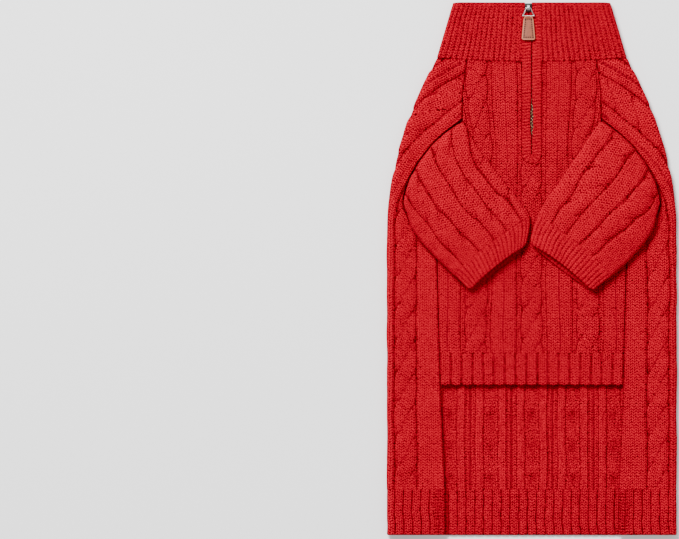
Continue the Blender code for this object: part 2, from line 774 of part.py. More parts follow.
def main():
    """Build every piece in its place."""
    clear_scene()
    sweater = new_collection("dog_sweater")
    cutters = new_collection("cutters")
    red = (0.55, 0.010, 0.018)
    knit = {name: principled(name, red, 0.9) for name in (
        "back_knit", "back_rib", "front_knit", "front_rib", "collar_rib", "band_knit",
        "sleeve_left_knit", "sleeve_right_knit", "cuff_left_rib", "cuff_right_rib")}
    build_back_panel(knit["back_knit"], sweater)
    build_back_hem_rib(knit["back_rib"], sweater)
    build_front_panel(knit["front_knit"], sweater, cutters)
    build_front_hem_rib(knit["front_rib"], sweater)
    build_collar(knit["collar_rib"], sweater)
    build_zip_band(knit["band_knit"], sweater)
    for word, fold in (("left", LEFT_SLEEVE), ("right", RIGHT_SLEEVE)):
        build_sleeve(f"sleeve_{word}", fold, knit[f"sleeve_{word}_knit"], sweater)
        build_cuff(f"cuff_{word}", fold, knit[f"cuff_{word}_rib"], sweater)
        tape = principled(f"tape_{word}", (0.18, 0.008, 0.012), 0.8)
        build_zip_tape(f"zip_tape_{word}", fold.side, tape, sweater)
    build_zip_slider(principled("slider_metal", (0.62, 0.60, 0.57), 0.25, 1.0), sweater, cutters)
    build_pull_ring(principled("ring_metal", (0.75, 0.74, 0.72), 0.2, 1.0), sweater)
    build_pull_tab(principled("tab_leather", (0.42, 0.20, 0.11), 0.6), sweater, cutters)


main()
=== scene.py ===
"""Looks of the cable-knit dog sweater: knitted shells on the frame's cloth, zip, pull and studio.

Every cloth piece is a thin shell on the form of its solid. Its relief, cables, columns and ribs, is
worked out from two knit coordinates in metres: wale, across the knit, and course, along it.
"""

import json
import logging
import math
from dataclasses import dataclass, field, replace
from enum import Enum
from typing import Any, Optional, Sequence

import bmesh
import bpy
import numpy as np
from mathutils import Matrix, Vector


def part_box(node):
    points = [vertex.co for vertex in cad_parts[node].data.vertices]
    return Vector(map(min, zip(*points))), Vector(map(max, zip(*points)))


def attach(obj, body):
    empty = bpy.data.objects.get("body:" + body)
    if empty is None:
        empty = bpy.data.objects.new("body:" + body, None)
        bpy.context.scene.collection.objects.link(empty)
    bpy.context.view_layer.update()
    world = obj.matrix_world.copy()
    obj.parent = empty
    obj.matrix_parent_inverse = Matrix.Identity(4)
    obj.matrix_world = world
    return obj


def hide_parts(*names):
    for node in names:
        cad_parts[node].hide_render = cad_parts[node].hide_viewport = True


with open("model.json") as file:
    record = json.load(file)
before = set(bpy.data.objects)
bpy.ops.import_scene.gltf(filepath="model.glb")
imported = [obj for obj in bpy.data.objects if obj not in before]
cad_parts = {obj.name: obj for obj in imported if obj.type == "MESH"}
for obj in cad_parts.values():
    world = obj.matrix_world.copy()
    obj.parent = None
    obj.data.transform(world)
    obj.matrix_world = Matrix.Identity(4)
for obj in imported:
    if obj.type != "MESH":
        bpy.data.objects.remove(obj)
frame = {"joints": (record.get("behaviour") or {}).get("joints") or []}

STITCH_WALE = 0.0032
STITCH_COURSE = 0.002
SEAM_ROUNDING = 0.0005
LEAST_WALL = 0.0001
LOG = logging.getLogger("sweater")
Array = np.ndarray
Object = bpy.types.Object
Material = bpy.types.Material
Mesh = bmesh.types.BMesh
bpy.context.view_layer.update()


# Curves and steps.
def smoothstep(value: Array) -> Array:
    """0 to 1 with flat ends."""
    value = np.clip(value, 0.0, 1.0)
    return value * value * (3.0 - 2.0 * value)


def mix(low: Any, high: Any, share: Any) -> Any:
    """Straight blend of two values."""
    return low * (1.0 - share) + high * share


def curve_through(knots: Sequence[float], values: Sequence[float], at: Array) -> Array:
    """Values on a smooth curve through knots that rise, by cubic Hermite pieces.

    Args:
        knots: Places of the known values, rising.
        values: The known values.
        at: Places to read.

    Returns:
        The curve's value at each place.
    """
    x, y = np.asarray(knots, float), np.asarray(values, float)
    slopes = np.empty_like(y)
    slopes[1:-1] = (y[2:] - y[:-2]) / (x[2:] - x[:-2])
    slopes[0] = (y[1] - y[0]) / (x[1] - x[0])
    slopes[-1] = (y[-1] - y[-2]) / (x[-1] - x[-2])
    i = np.clip(np.searchsorted(x, at, side="right") - 1, 0, len(x) - 2)
    span = x[i + 1] - x[i]
    t = (at - x[i]) / span
    start = y[i] * (1 + 2 * t) * (1 - t) ** 2 + slopes[i] * span * t * (1 - t) ** 2
    end = y[i + 1] * t * t * (3 - 2 * t) - slopes[i + 1] * span * t * t * (1 - t)
    return start + end


def spaced(start: float, end: float, step: float, rims: tuple[float, ...] = ()) -> Array:
    """Even places from start to end, with finer ones beside the ends for a rounded rim.

    Args:
        start: First place.
        end: Last place, above start.
        step: Largest distance between places.
        rims: Distances from both ends that get a place of their own, rising.

    Returns:
        Rising places.
    """
    inset = rims[-1] if rims else 0.0
    low, high = start + inset, end - inset
    middle = np.linspace(low, high, max(int(math.ceil((high - low) / step)), 1) + 1)
    near = [start + d for d in (0.0, *rims[:-1])] if rims else []
    far = [end - d for d in (0.0, *rims[:-1])] if rims else []
    return np.array([*near, *middle, *reversed(far)])


@dataclass(frozen=True)
class Drift:
    """A slow, seeded wander over a surface, between about -1 and 1."""

    seed: int
    length: float = 0.05
    waves: int = 6

    def at(self, x: Array, y: Array) -> Array:
        """The wander at places given in metres.

        Args:
            x: Metres one way.
            y: Metres the other way.

        Returns:
            The wander at each place.
        """
        rng = np.random.default_rng(self.seed)
        total = np.zeros(np.broadcast(x, y).shape)
        for _ in range(self.waves):
            angle, phase = rng.uniform(0, 2 * math.pi, 2)
            wave = 2 * math.pi / (self.length * rng.uniform(0.6, 1.7))
            total += np.sin(wave * (x * math.cos(angle) + y * math.sin(angle)) + phase)
        return total / math.sqrt(self.waves)


# The laid garment's form.
@dataclass(frozen=True)
class FrontRow:
    """Where the wrapped back panel and the front panel end at y, from the centre line."""

    y: float
    back_edge: float
    front_edge: float


@dataclass(frozen=True)
class PlanPoint:
    """A point of a folded edge in plan, outward from the centre line."""

    x: float
    y: float


@dataclass(frozen=True)
class GrooveRow:
    """Where the sleeve's grooves run, as shares across it, at one distance along it."""

    run: float
    first: float
    second: float
    third: float
    fourth: float
    fifth: float


@dataclass(frozen=True)
class SleevePlan:
    """One sleeve as it lies: its side, its folded edges from armhole to cuff, and its grooves."""

    side: int
    upper: tuple[PlanPoint, ...]
    lower: tuple[PlanPoint, ...]
    grooves: tuple[GrooveRow, ...]


@dataclass(frozen=True)
class Station:
    """How far each layer of the sleeve has run from the armhole, and how much it has risen."""

    top_run: float
    top_rise: float
    under_run: float
    under_rise: float


def table(kind: type, *rows: tuple[float, ...]) -> tuple:
    """The rows of a table as instances of one class."""
    return tuple(kind(*row) for row in rows)


FRONT_ROWS = table(FrontRow,
    (-0.2, 0.0647, 0.064), (-0.166, 0.0649, 0.0643), (-0.0874, 0.0686, 0.0683),
    (-0.02, 0.0704, 0.0701), (0.008, 0.0712, 0.0706), (0.014, 0.0765, 0.0684),
    (0.026, 0.0856, 0.0643), (0.035, 0.0913, 0.0619), (0.043, 0.0951, 0.06),
    (0.05, 0.0966, 0.0585), (0.057, 0.0957, 0.0573), (0.069, 0.0915, 0.0555),
    (0.08, 0.0852, 0.0541), (0.092, 0.0762, 0.053), (0.101, 0.0668, 0.0524),
    (0.108, 0.0578, 0.052), (0.112, 0.0522, 0.0518), (0.132, 0.0518, 0.0515),
    (0.158, 0.0486, 0.0483),
)
SLEEVE_STATIONS = table(Station,
    (0.0, -0.42, 0.0, -1.0), (0.0, 0.0, 0.0, -0.35), (0.01, 0.46, 0.0, 0.55),
    (0.028, 0.76, 0.025, 1.0), (0.065, 0.93, 0.07, 1.0), (0.13, 1.0, 0.14, 1.0),
    (0.23, 1.0, 0.24, 1.0), (0.35, 1.0, 0.35, 1.0), (0.48, 1.0, 0.48, 1.0),
    (0.62, 1.0, 0.62, 1.0), (0.752, 1.0, 0.752, 1.0),
)
LEFT_SLEEVE = SleevePlan(
    side=-1,
    upper=table(PlanPoint,
        (0.0518, 0.1112), (0.0373, 0.0866), (0.0186, 0.0619), (0.0016, 0.0392),
        (0.0038, 0.0173),
    ),
    lower=table(PlanPoint,
        (0.0947, 0.0424), (0.087, 0.0248), (0.0718, 0.0076), (0.0587, -0.0051),
        (0.047, -0.017),
    ),
    grooves=table(GrooveRow,
        (0.0, -0.04, 0.12, 0.355, 0.6, 0.83), (0.1, 0.02, 0.18, 0.385, 0.605, 0.825),
        (0.2, 0.075, 0.23, 0.395, 0.61, 0.812), (0.31, 0.11, 0.238, 0.405, 0.613, 0.797),
        (0.42, 0.112, 0.255, 0.438, 0.617, 0.82), (0.52, 0.105, 0.271, 0.432, 0.621, 0.828),
        (0.62, 0.09, 0.268, 0.43, 0.626, 0.838), (0.74, 0.093, 0.268, 0.425, 0.63, 0.842),
    ),
)
RIGHT_SLEEVE = SleevePlan(
    side=1,
    upper=table(PlanPoint,
        (0.0518, 0.1112), (0.0373, 0.0896), (0.019, 0.0632), (0.0042, 0.0405),
        (-0.0022, 0.0188),
    ),
    lower=table(PlanPoint,
        (0.0947, 0.0424), (0.0885, 0.0249), (0.0745, 0.0072), (0.0605, -0.0056),
        (0.0458, -0.0175),
    ),
    grooves=table(GrooveRow,
        (0.0, -0.06, 0.143, 0.4, 0.6, 0.83), (0.13, -0.05, 0.163, 0.365, 0.597, 0.812),
        (0.25, -0.05, 0.13, 0.383, 0.568, 0.79), (0.35, -0.05, 0.128, 0.37, 0.551, 0.757),
        (0.43, -0.05, 0.148, 0.357, 0.545, 0.73), (0.5, -0.04, 0.168, 0.348, 0.54, 0.71),
        (0.6, -0.04, 0.156, 0.342, 0.53, 0.701), (0.74, -0.04, 0.165, 0.342, 0.52, 0.692),
    ),
)


@dataclass(frozen=True)
class Layout:
    """Sizes and heights of the garment as it lies, in metres, read from the frame's boxes."""

    half_width: float
    hem_y: float
    back_rib_top_y: float
    front_hem_y: float
    front_rib_top_y: float
    neck_y: float
    collar_top_y: float
    neck_half_width: float
    collar_top_half_width: float = 0.059
    shoulder_y: float = 0.025
    wall: float = 0.0024
    gap: float = 0.0003
    front_top: float = 0.0064
    fold_radius: float = 0.004
    fold_spread: float = 0.014
    dip_front: float = 0.003
    dip_back: float = 0.0055
    collar_dip_back: float = 0.005
    dip_reach: float = 0.03
    underarm_y: float = 0.008
    armhole_top_y: float = 0.112
    slit_end_y: float = 0.086
    band_half_width: float = 0.0074

    @classmethod
    def from_frame(cls) -> "Layout":
        """The layout with its outer sizes taken from the frame.

        Returns:
            The layout.
        """
        hem, panel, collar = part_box("back_hem_rib"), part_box("back_panel"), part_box("collar")
        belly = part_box("front_hem_rib")
        return cls(
            half_width=hem[1].x,
            hem_y=hem[0].y,
            back_rib_top_y=hem[1].y,
            front_hem_y=belly[0].y,
            front_rib_top_y=belly[1].y,
            neck_y=panel[1].y + cls.gap / 2,
            collar_top_y=collar[1].y,
            neck_half_width=collar[1].x,
        )

    def body_half_width(self, y: Array) -> Array:
        """Half the body's width: straight sides, then shoulders that fall off as a parabola."""
        rise = np.clip(y - self.shoulder_y, 0.0, None) / (self.neck_y - self.shoulder_y)
        return self.half_width - (self.half_width - self.neck_half_width) * rise * rise

    def shoulder_slope(self, y: Array) -> Array:
        """Change of the body's half width with y.

        Args:
            y: Rows.

        Returns:
            Metres of width for each metre of y.
        """
        rise = np.clip(y - self.shoulder_y, 0.0, None) / (self.neck_y - self.shoulder_y)
        fall = self.half_width - self.neck_half_width
        return -2.0 * fall * rise / (self.neck_y - self.shoulder_y)

    def collar_half_width(self, y: Array) -> Array:
        """Half the collar's width, which narrows to its top."""
        share = (y - self.neck_y) / (self.collar_top_y - self.neck_y)
        return mix(self.neck_half_width, self.collar_top_half_width, share)

    def front_height(self, half_width: Array, x: Array) -> Array:
        """Height of the front layer: flat in the middle, rising to the side folds."""
        share = smoothstep((half_width - np.abs(x) - self.fold_radius) / self.fold_spread)
        return mix(2 * self.fold_radius, self.front_top, share)

    def dip_share(self, y: Array) -> Array:
        """How much of the neck's dip a row below the neck seam takes up."""
        return smoothstep(1.0 - (self.neck_y - y) / self.dip_reach)

    @staticmethod
    def edge(column: str, y: Array) -> Array:
        """Value of one column of the front rows at y."""
        return np.interp(y, [r.y for r in FRONT_ROWS], [getattr(r, column) for r in FRONT_ROWS])


# Knit patterns.
@dataclass(frozen=True)
class Relief:
    """What a pattern gives at each point: height in metres, painted shade 0 to 1, the stitch's
    wale, and
    marks: a place for the painted shade lines, their strength, distance from a crease, the strength
    of its painted shade."""

    height: Array
    shade: Array
    stitch: Array
    marks: Array

    def changed(self, lift: Any = 0.0, shade: Any = 1.0) -> "Relief":
        """The relief raised by a lift and shaded once more."""
        return replace(self, height=self.height + lift, shade=self.shade * shade)

    def part(self, columns: Any) -> "Relief":
        """The relief of some columns of the grid."""
        return Relief(*(values[:, columns] for values in vars(self).values()))


def marked(place: Array, line: Any = 1.0, crease: Any = 1.0, cross: Any = 0.0) -> Array:
    """The four marks of a relief in one array.

    Args:
        place: Metres across the repeat, which the painted shade lines are placed by.
        line: Strength of those painted shade lines, 0 to 1.
        crease: Metres from the nearest crease of a crossing.
        cross: Strength of the painted shade along that crease, 0 to 1.

    Returns:
        The marks, last axis first to last.
    """
    return np.stack([part + 0.0 * place for part in (place, line, crease, cross)], axis=-1)


@dataclass(frozen=True)
class CableKnit:
    """Two-strand cables that alternate with crowned stockinette columns, purl grooves between."""

    pitch: float
    outermost: int
    half_cable: float = 0.0079
    groove: float = 0.0013
    crossing: float = 0.024
    start: float = 0.0
    hand: int = 1
    swing: float = 0.0017
    lift: float = 0.00036
    depth: float = 0.001
    crown: float = 0.00014
    rib_half: float = 0.0031
    quickness: float = 0.34
    dome: float = 3.2
    border_shade: float = 0.8
    floor_shade: float = 0.9

    def relief(self, wale: Array, course: Array) -> Relief:
        """Outer face of the pattern.

        Args:
            wale: Metres across the knit.
            course: Metres along the knit.

        Returns:
            The relief at each point.
        """
        near = np.clip(np.round(wale / self.pitch), -self.outermost, self.outermost)
        across = (wale - near * self.pitch) * self.hand
        off = np.abs(across)
        first, second = self._strands(across, course)
        swing, sine = self.swing * np.cos(self._turn(course)), np.sin(self._turn(course))
        cable = np.maximum(first, second)
        height = np.maximum(np.maximum(cable, self._column(off)), -self.depth)
        on_cable = cable >= height - 1e-9
        edge = np.abs(swing) + self.half_cable - self.swing
        stitch = np.where(on_cable, across - np.where(first > second, swing, -swing), across)
        # Painted shade: darker down the cable's sides and on the groove's floor, darkest at its
        # borders.
        raised = smoothstep((height + self.depth) / (0.5 * self.depth))
        shade = mix(self._floor(off, edge), 1.0, raised)
        # Strength of the painted shade along the crease where one strand crosses the other; dent is
        # a real shallow hollow there.
        crossed = smoothstep((np.abs(sine) - 0.2) / 0.5) * (off < edge)
        crossed = crossed * (0.45 + 0.55 * smoothstep(off / 0.0035))
        crease = self._crease(across, course)
        dent = 0.0001 * crossed * np.exp(-((crease / 0.0008) ** 2))
        return Relief(height - dent, shade, stitch,
                      marked(self._place(off, edge), 1.0, crease, crossed))

    def _strands(self, across: Array, course: Array) -> tuple[Array, Array]:
        """Heights of the two strands of the nearest cable.

        Args:
            across: Metres from the cable's middle.
            course: Metres along the knit.

        Returns:
            The height of each strand.
        """
        turn = self._turn(course)
        swing, lift = self.swing * np.cos(turn), self.lift * np.sin(turn)
        reach = self.half_cable - self.swing
        return (-lift - self.depth * (np.abs(across - swing) / reach) ** self.dome,
                lift - self.depth * (np.abs(across + swing) / reach) ** self.dome)

    def _crease(self, across: Array, course: Array) -> Array:
        """Metres from the line where one strand passes over the other.

        Args:
            across: Metres from the cable's middle.
            course: Metres along the knit.

        Returns:
            The distance, with a sign, held within 4 mm.
        """
        step = 2e-5

        def gap(shift_across: float, shift_course: float) -> Array:
            """One strand's height over the other's a little way off."""
            first, second = self._strands(across + shift_across, course + shift_course)
            return first - second

        here = gap(0.0, 0.0)
        slope = np.hypot(gap(step, 0.0) - here, gap(0.0, step) - here) / step
        return np.clip(here / np.maximum(slope, 0.03), -0.004, 0.004)

    def _place(self, off: Array, edge: Array) -> Array:
        """Metres across the repeat, bent so that the cable's wavy edge stays at one value.

        Args:
            off: Metres from the cable's middle, without sign.
            edge: Where the cable ends.

        Returns:
            The bent place.
        """
        column_edge = self.half_cable + self.groove
        beside = self.half_cable + (off - edge) / (column_edge - edge) * self.groove
        bent = np.where(off < edge, off * self.half_cable / edge, beside)
        return np.minimum(np.where(off < column_edge, bent, off), self.pitch / 2)

    def purl_relief(self, wale: Array, course: Array) -> Relief:
        """Inner face: raised ribs behind the grooves, sunk bands behind cables and columns.

        Args:
            wale: Metres across the knit.
            course: Metres along the knit.

        Returns:
            The relief at each point.
        """
        near = np.clip(np.round(wale / self.pitch), -self.outermost, self.outermost)
        across = np.abs(wale - near * self.pitch)
        rib_centre = self.half_cable + self.groove / 2
        off = np.abs(across - rib_centre)
        sunk = smoothstep((off - self.rib_half + 0.0006) / 0.0012)
        turn = 2 * self._turn(course)
        knot = np.sin(turn) * np.exp(-((across / 0.0034) ** 2)) * 0.0003
        spot = np.clip(np.sin(turn + 0.6), 0.0, None) ** 3 * np.exp(-((across / 0.0026) ** 2))
        beyond = across > self.pitch / 2 + 0.004
        height = np.where(beyond, 0.0, -0.001 * sunk + knot)
        # Painted light on the raised ribs and painted shade on the sunk bands, with darker spots at
        # the knots.
        shade = np.where(beyond, 0.9, mix(1.15, 0.92, sunk) * (1.0 - 0.45 * spot))
        place = np.maximum(rib_centre + self.rib_half - off, 0.001)
        return Relief(height, shade, wale, marked(place))

    def _turn(self, course: Array) -> Array:
        """Angle of the strands' turn, quick where they cross and slow between."""
        even = math.pi * (course - self.start) / self.crossing
        return even - self.quickness * np.sin(2 * even)

    def _column(self, across: Array) -> Array:
        """Crowned section of a stockinette column, or a plain face past the last cable.

        Args:
            across: Metres from the cable's middle, without sign.

        Returns:
            The height at each point.
        """
        half = self.pitch / 2 - self.half_cable - self.groove
        off = np.abs(self.pitch / 2 - across)
        edge = smoothstep((off - half + 0.0008) / 0.0011)
        height = -self.crown * (off / half) ** 2 - self.depth * edge
        return np.where(across > self.pitch / 2, 0.0, height)

    def _floor(self, across: Array, cable_edge: Array) -> Array:
        """Shade of the groove's floor: dark along both borders, lighter between them."""
        inside = np.minimum(across - cable_edge, self.half_cable + self.groove - across)
        return mix(self.border_shade, self.floor_shade, smoothstep(inside / 0.0015))


@dataclass(frozen=True)
class RibKnit:
    """Round ribs with narrow grooves between them."""

    pitch: float
    groove: float
    depth: float
    crown: float = 0.00012
    shift: float = 0.0
    wales: float = 1.5

    def relief(self, wale: Array, course: Array) -> Relief:
        """The ribs at each point.

        Args:
            wale: Metres across the knit.
            course: Metres along the knit.

        Returns:
            The relief at each point.
        """
        place = (wale + self.shift) / self.pitch
        number = np.floor(place)
        share = place - number
        off = np.minimum(share, 1.0 - share) * self.pitch
        vary = 0.75 + 0.25 * np.sin(number * 2.4 + course * 90.0)
        sunk = (1.0 - smoothstep(off / self.groove)) * vary
        fall = (1.0 - np.minimum(off * 2 / self.pitch, 1.0)) ** 2
        height = -self.depth * sunk - self.crown * fall
        first = number * math.ceil(self.wales) + 0.5
        stitch = (first + (share - 0.5) * self.wales) * STITCH_WALE
        # Painted shade in the grooves between the ribs.
        return Relief(height, 1.0 - 0.15 * sunk, stitch, marked(wale + self.shift, vary))


@dataclass(frozen=True)
class StripeKnit:
    """Short ridges across a band that is knitted sideways."""

    pitch: float = 0.0024
    depth: float = 0.00034
    low_shade: float = 0.42

    def relief(self, wale: Array, course: Array) -> Relief:
        """The ridges at each point, as `RibKnit.relief`.

        Args:
            wale: Metres across the band.
            course: Metres along the band.

        Returns:
            The relief at each point.
        """
        turn = 2 * math.pi * course / self.pitch + 0.9 * np.sin(wale * 900.0)
        wave = 0.5 + 0.5 * np.cos(turn)
        # Painted shade in the troughs and painted light on the tops of the ridges.
        shade = mix(self.low_shade, 1.05, wave)
        return Relief(-self.depth * (1.0 - wave), shade, wale, marked(wale, 0.0))


def blended(first: Relief, second: Relief, share: Array) -> Relief:
    """One relief that passes into another.

    Args:
        first: Relief where share is 0.
        second: Relief where share is 1.
        share: 0 to 1 at each point.

    Returns:
        The blended relief.
    """
    strengths = mix(first.marks, second.marks, share[..., None]) * [0, 1, 0, 1]
    return Relief(mix(first.height, second.height, share), mix(first.shade, second.shade, share),
                  np.where(share > 0.5, second.stitch, first.stitch),
                  first.marks * [1, 0, 1, 0] + strengths)


# Objects.
def in_scene(name: str, data: Any) -> Object:
    """A new object that shows some data.

    Args:
        name: Name of the object.
        data: A mesh, a light or a camera.

    Returns:
        The new object.
    """
    obj = bpy.data.objects.new(name, data)
    bpy.context.scene.collection.objects.link(obj)
    return obj


def object_from(name: str, bm: Mesh) -> Object:
    """A smooth-shaded object from a bmesh, which is freed.

    Args:
        name: Name of the object.
        bm: Its mesh.

    Returns:
        The new object.
    """
    mesh = bpy.data.meshes.new(name)
    bm.to_mesh(mesh)
    bm.free()
    mesh.shade_smooth()
    return in_scene(name, mesh)


def dressed(obj: Object, material: Material, body: str,
            node: Optional[str] = None) -> Object:
    """Give a built piece its finish and its body, and hide the node that it stands for.

    Args:
        obj: The built object.
        material: Its finish.
        body: The body that it rides on.
        node: The node that it replaces, if any.

    Returns:
        The same object.
    """
    obj.data.materials.append(material)
    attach(obj, body)
    if node:
        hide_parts(node)
    LOG.info("%s: %d triangles", obj.name, sum(len(p.vertices) - 2 for p in obj.data.polygons))
    return obj


# Cloth shells.
@dataclass
class Surface:
    """The smooth outer face of a piece as a grid, with its knit coordinates."""

    points: Array
    wale: Array
    course: Array
    closed: bool = False
    outward: int = 1

    def part(self, columns: Any) -> "Surface":
        """The surface of some columns of the grid."""
        return Surface(*(grid[:, columns] for grid in (self.points, self.wale, self.course)))

    def turned_up(self, row: int, column: int) -> "Surface":
        """The surface with its outside up at one of its points."""
        self.outward = -1 if self.normals()[row, column, 2] < 0 else 1
        return self

    def normals(self) -> Array:
        """Unit normals of the grid, turned to the outside.

        Returns:
            A normal for each point.
        """
        p = self.points
        along = np.gradient(p, axis=0)
        if self.closed:
            across = np.roll(p, -1, axis=1) - np.roll(p, 1, axis=1)
        else:
            across = np.gradient(p, axis=1)
        normal = np.cross(across, along)
        normal /= np.maximum(np.linalg.norm(normal, axis=2, keepdims=True), 1e-12)
        return normal * self.outward

    def _seamed(self) -> Array:
        """The points, with a tube's first column once more at its end."""
        return np.concatenate([self.points, self.points[:, :1]], 1) if self.closed else self.points

    def area(self) -> float:
        """Area of the smooth face.

        Returns:
            Square metres.
        """
        p = self._seamed()
        a, b = p[1:, 1:] - p[:-1, :-1], p[1:, :-1] - p[:-1, 1:]
        return float(np.linalg.norm(np.cross(a, b), axis=2).sum() / 2)

    def spans(self) -> tuple[float, float]:
        """Greatest width along a row and greatest length along a column.

        Returns:
            The width and the length in metres.
        """
        p = self._seamed()
        across = np.linalg.norm(np.diff(p, axis=1), axis=2).sum(axis=1).max()
        along = np.linalg.norm(np.diff(p, axis=0), axis=2).sum(axis=0).max()
        return float(across), float(along)


@dataclass
class Shell:
    """A closed wall of cloth between an outer and an inner grid, with rims at its free edges."""

    name: str
    outer: Array
    inner: Array
    relief: Relief
    back: Relief
    course: Array
    closed: bool = False
    first_rim: Optional[Array] = None
    last_rim: Optional[Array] = None
    skip: int = 1

    def faces(self) -> tuple[list, list]:
        """Faces by vertex number, and for each the grid it belongs to: 0 outer, 1 inner, 2 rim.

        Returns:
            The faces and their kinds.
        """
        rows, columns = self.outer.shape[:2]
        low_rows = self.inner.shape[0]
        start = rows * columns
        c = np.arange(columns if self.closed else columns - 1)
        d = (c + 1) % columns

        def block(count: int, offset: int) -> Array:
            """Faces of one grid, its vertices numbered from an offset."""
            r = np.arange(count - 1)[:, None] * columns + offset
            return np.stack([r + c, r + d, r + columns + d, r + columns + c], 2).reshape(-1, 4)

        outer, inner = block(rows, 0), block(low_rows, start)[:, ::-1]
        last, low_last = (rows - 1) * columns, start + (low_rows - 1) * columns
        bottom = np.stack([start + c, start + d, d, c], axis=1)
        top = np.stack([last + c, last + d, low_last + d, low_last + c], axis=1)
        rims = [*bottom.tolist(), *top.tolist()]
        if not self.closed:
            rims += self._side(0, self.first_rim, False)
            rims += self._side(columns - 1, self.last_rim, True)
        kinds = [0] * len(outer) + [1] * len(inner) + [2] * len(rims)
        return [*outer.tolist(), *inner.tolist(), *rims], kinds

    def _side(self, column: int, mask: Optional[Array], flip: bool) -> list:
        """Faces that close the wall along one free side, where the mask says it is free.

        Args:
            column: The side's column.
            mask: Whether each step is free, or None where all are.
            flip: Whether the faces are turned over.

        Returns:
            The faces.
        """
        rows, columns = self.outer.shape[:2]
        start = rows * columns
        found = []
        for k in range(self.inner.shape[0] - 1):
            if mask is not None and not mask[k]:
                continue
            near, far = start + k * columns + column, start + (k + 1) * columns + column
            line = [(k * self.skip + j) * columns + column for j in range(self.skip + 1)]
            face = [*line, far, near]
            found.append(face[::-1] if flip else face)
        return found

    def object(self, flip: bool) -> Object:
        """The shell as a mesh object.

        Args:
            flip: Whether the grid's own winding faces inward.

        Returns:
            The new object, with its stitch map, its bake map and its shade attribute.
        """
        found, kinds = self.faces()
        points = np.concatenate([self.outer.reshape(-1, 3), self.inner.reshape(-1, 3)])
        mesh = bpy.data.meshes.new(self.name)
        mesh.from_pydata(points.tolist(), [], [f[::-1] for f in found] if flip else found)
        vertex = np.empty(len(mesh.loops), np.int32)
        mesh.loops.foreach_get("vertex_index", vertex)
        sizes = np.empty(len(mesh.polygons), np.int32)
        mesh.polygons.foreach_get("loop_total", sizes)
        kind = np.repeat(np.array(kinds), sizes)
        stitches = np.stack([self._both(self.relief.stitch / STITCH_WALE)[vertex],
                             self._both(self.course / STITCH_COURSE)[vertex]], axis=1)
        marks = np.concatenate([self.relief.marks.reshape(-1, 4),
                                self.back.marks[:: self.skip].reshape(-1, 4)])[vertex]
        for layer, places in (("Stitches", stitches), ("ShadeLines", marks[:, :2]),
                              ("Creases", marks[:, 2:]), ("OFBake", self._bake(vertex, kind))):
            mesh.uv_layers.new(name=layer).uv.foreach_set("vector", places.ravel())
        shade = mesh.attributes.new("shade", "FLOAT", "POINT")
        shade.data.foreach_set("value", self._both(self.relief.shade, self.back.shade))
        mesh.validate()
        mesh.shade_smooth()
        mesh.set_sharp_from_angle(angle=math.radians(65))
        return in_scene(self.name, mesh)

    def _both(self, values: Array, back: Optional[Array] = None) -> Array:
        """Values of the outer grid, then of the inner grid, which may have its own."""
        inner = (values if back is None else back)[:: self.skip]
        return np.concatenate([values.ravel(), inner.ravel()])

    def _bake(self, vertex: Array, kind: Array) -> Array:
        """Map places for each face corner: outer above, inner below, rims in the margins.

        Args:
            vertex: Vertex of each face corner.
            kind: Grid that each corner's face belongs to.

        Returns:
            A place in the map for each corner.
        """
        rows, columns = self.outer.shape[:2]
        low_rows = self.inner.shape[0]
        inside = vertex >= rows * columns
        local = np.where(inside, vertex - rows * columns, vertex)
        row, column = local // columns, local % columns
        share = np.where(inside, row / max(low_rows - 1, 1), row / max(rows - 1, 1))
        u = 0.02 + 0.96 * column / max(columns - 1, 1)
        v_outer, v_inner = 0.38 + 0.6 * share, 0.02 + 0.32 * share
        v = np.where(inside & (kind == 1), v_inner, v_outer)
        rim_inner = inside & (kind == 2)
        at_end = (share < 1e-6) | (share > 1 - 1e-6)
        v = np.where(rim_inner & at_end, v + np.where(share < 0.5, -0.008, 0.008), v)
        u = np.where(rim_inner & ~at_end, u + np.where(column == 0, -0.008, 0.008), u)
        return np.stack([u, v], axis=1)


def painted_edge_shade(distance: Array, depth: float = 0.6) -> Array:
    """Painted shade along a knitted edge or a seam, the shade of an edge that rolls in a little."""
    return 1.0 - depth * np.exp(-((distance / 0.0011) ** 2))


def rim_drop(distance: Array, radius: float) -> Array:
    """How far a rounded rim falls at a distance from the free edge."""
    inside = np.clip(radius - distance, 0.0, radius)
    return radius - np.sqrt(np.maximum(radius * radius - inside * inside, 0.0))


def build_shell(name: str, surface: Surface, relief: Relief, back: Relief, edge: Array,
                wall: float, rim: float, skip: int = 1,
                sides: tuple = (None, None)) -> Object:
    """A cloth piece from its smooth face and the relief on both of its faces.

    Args:
        name: Name of the piece.
        surface: Its smooth outer face.
        relief: Relief of the outer face.
        back: Relief of the inner face.
        edge: Distance of each grid point from the nearest free edge.
        wall: Thickness of the cloth.
        rim: Radius of its rounded edges.
        skip: How many outer rows one inner row stands for.
        sides: Masks that say where its two side edges are free.

    Returns:
        The new object.
    """
    normal = surface.normals()
    drop = rim_drop(edge, rim)
    outer_height = np.where(edge < rim, np.minimum(relief.height, 0.0), relief.height)
    top = np.maximum(outer_height - drop, -wall / 2 + LEAST_WALL / 2)
    low = np.minimum(-wall - back.height + drop, -wall / 2 - LEAST_WALL / 2)
    outer = surface.points + normal * top[..., None]
    outer[..., 2] = np.maximum(outer[..., 2], 0.0)
    inner = (surface.points + normal * low[..., None])[::skip]
    shell = Shell(name, outer, inner, relief, back, surface.course, surface.closed, *sides, skip)
    return shell.object(surface.outward < 0)


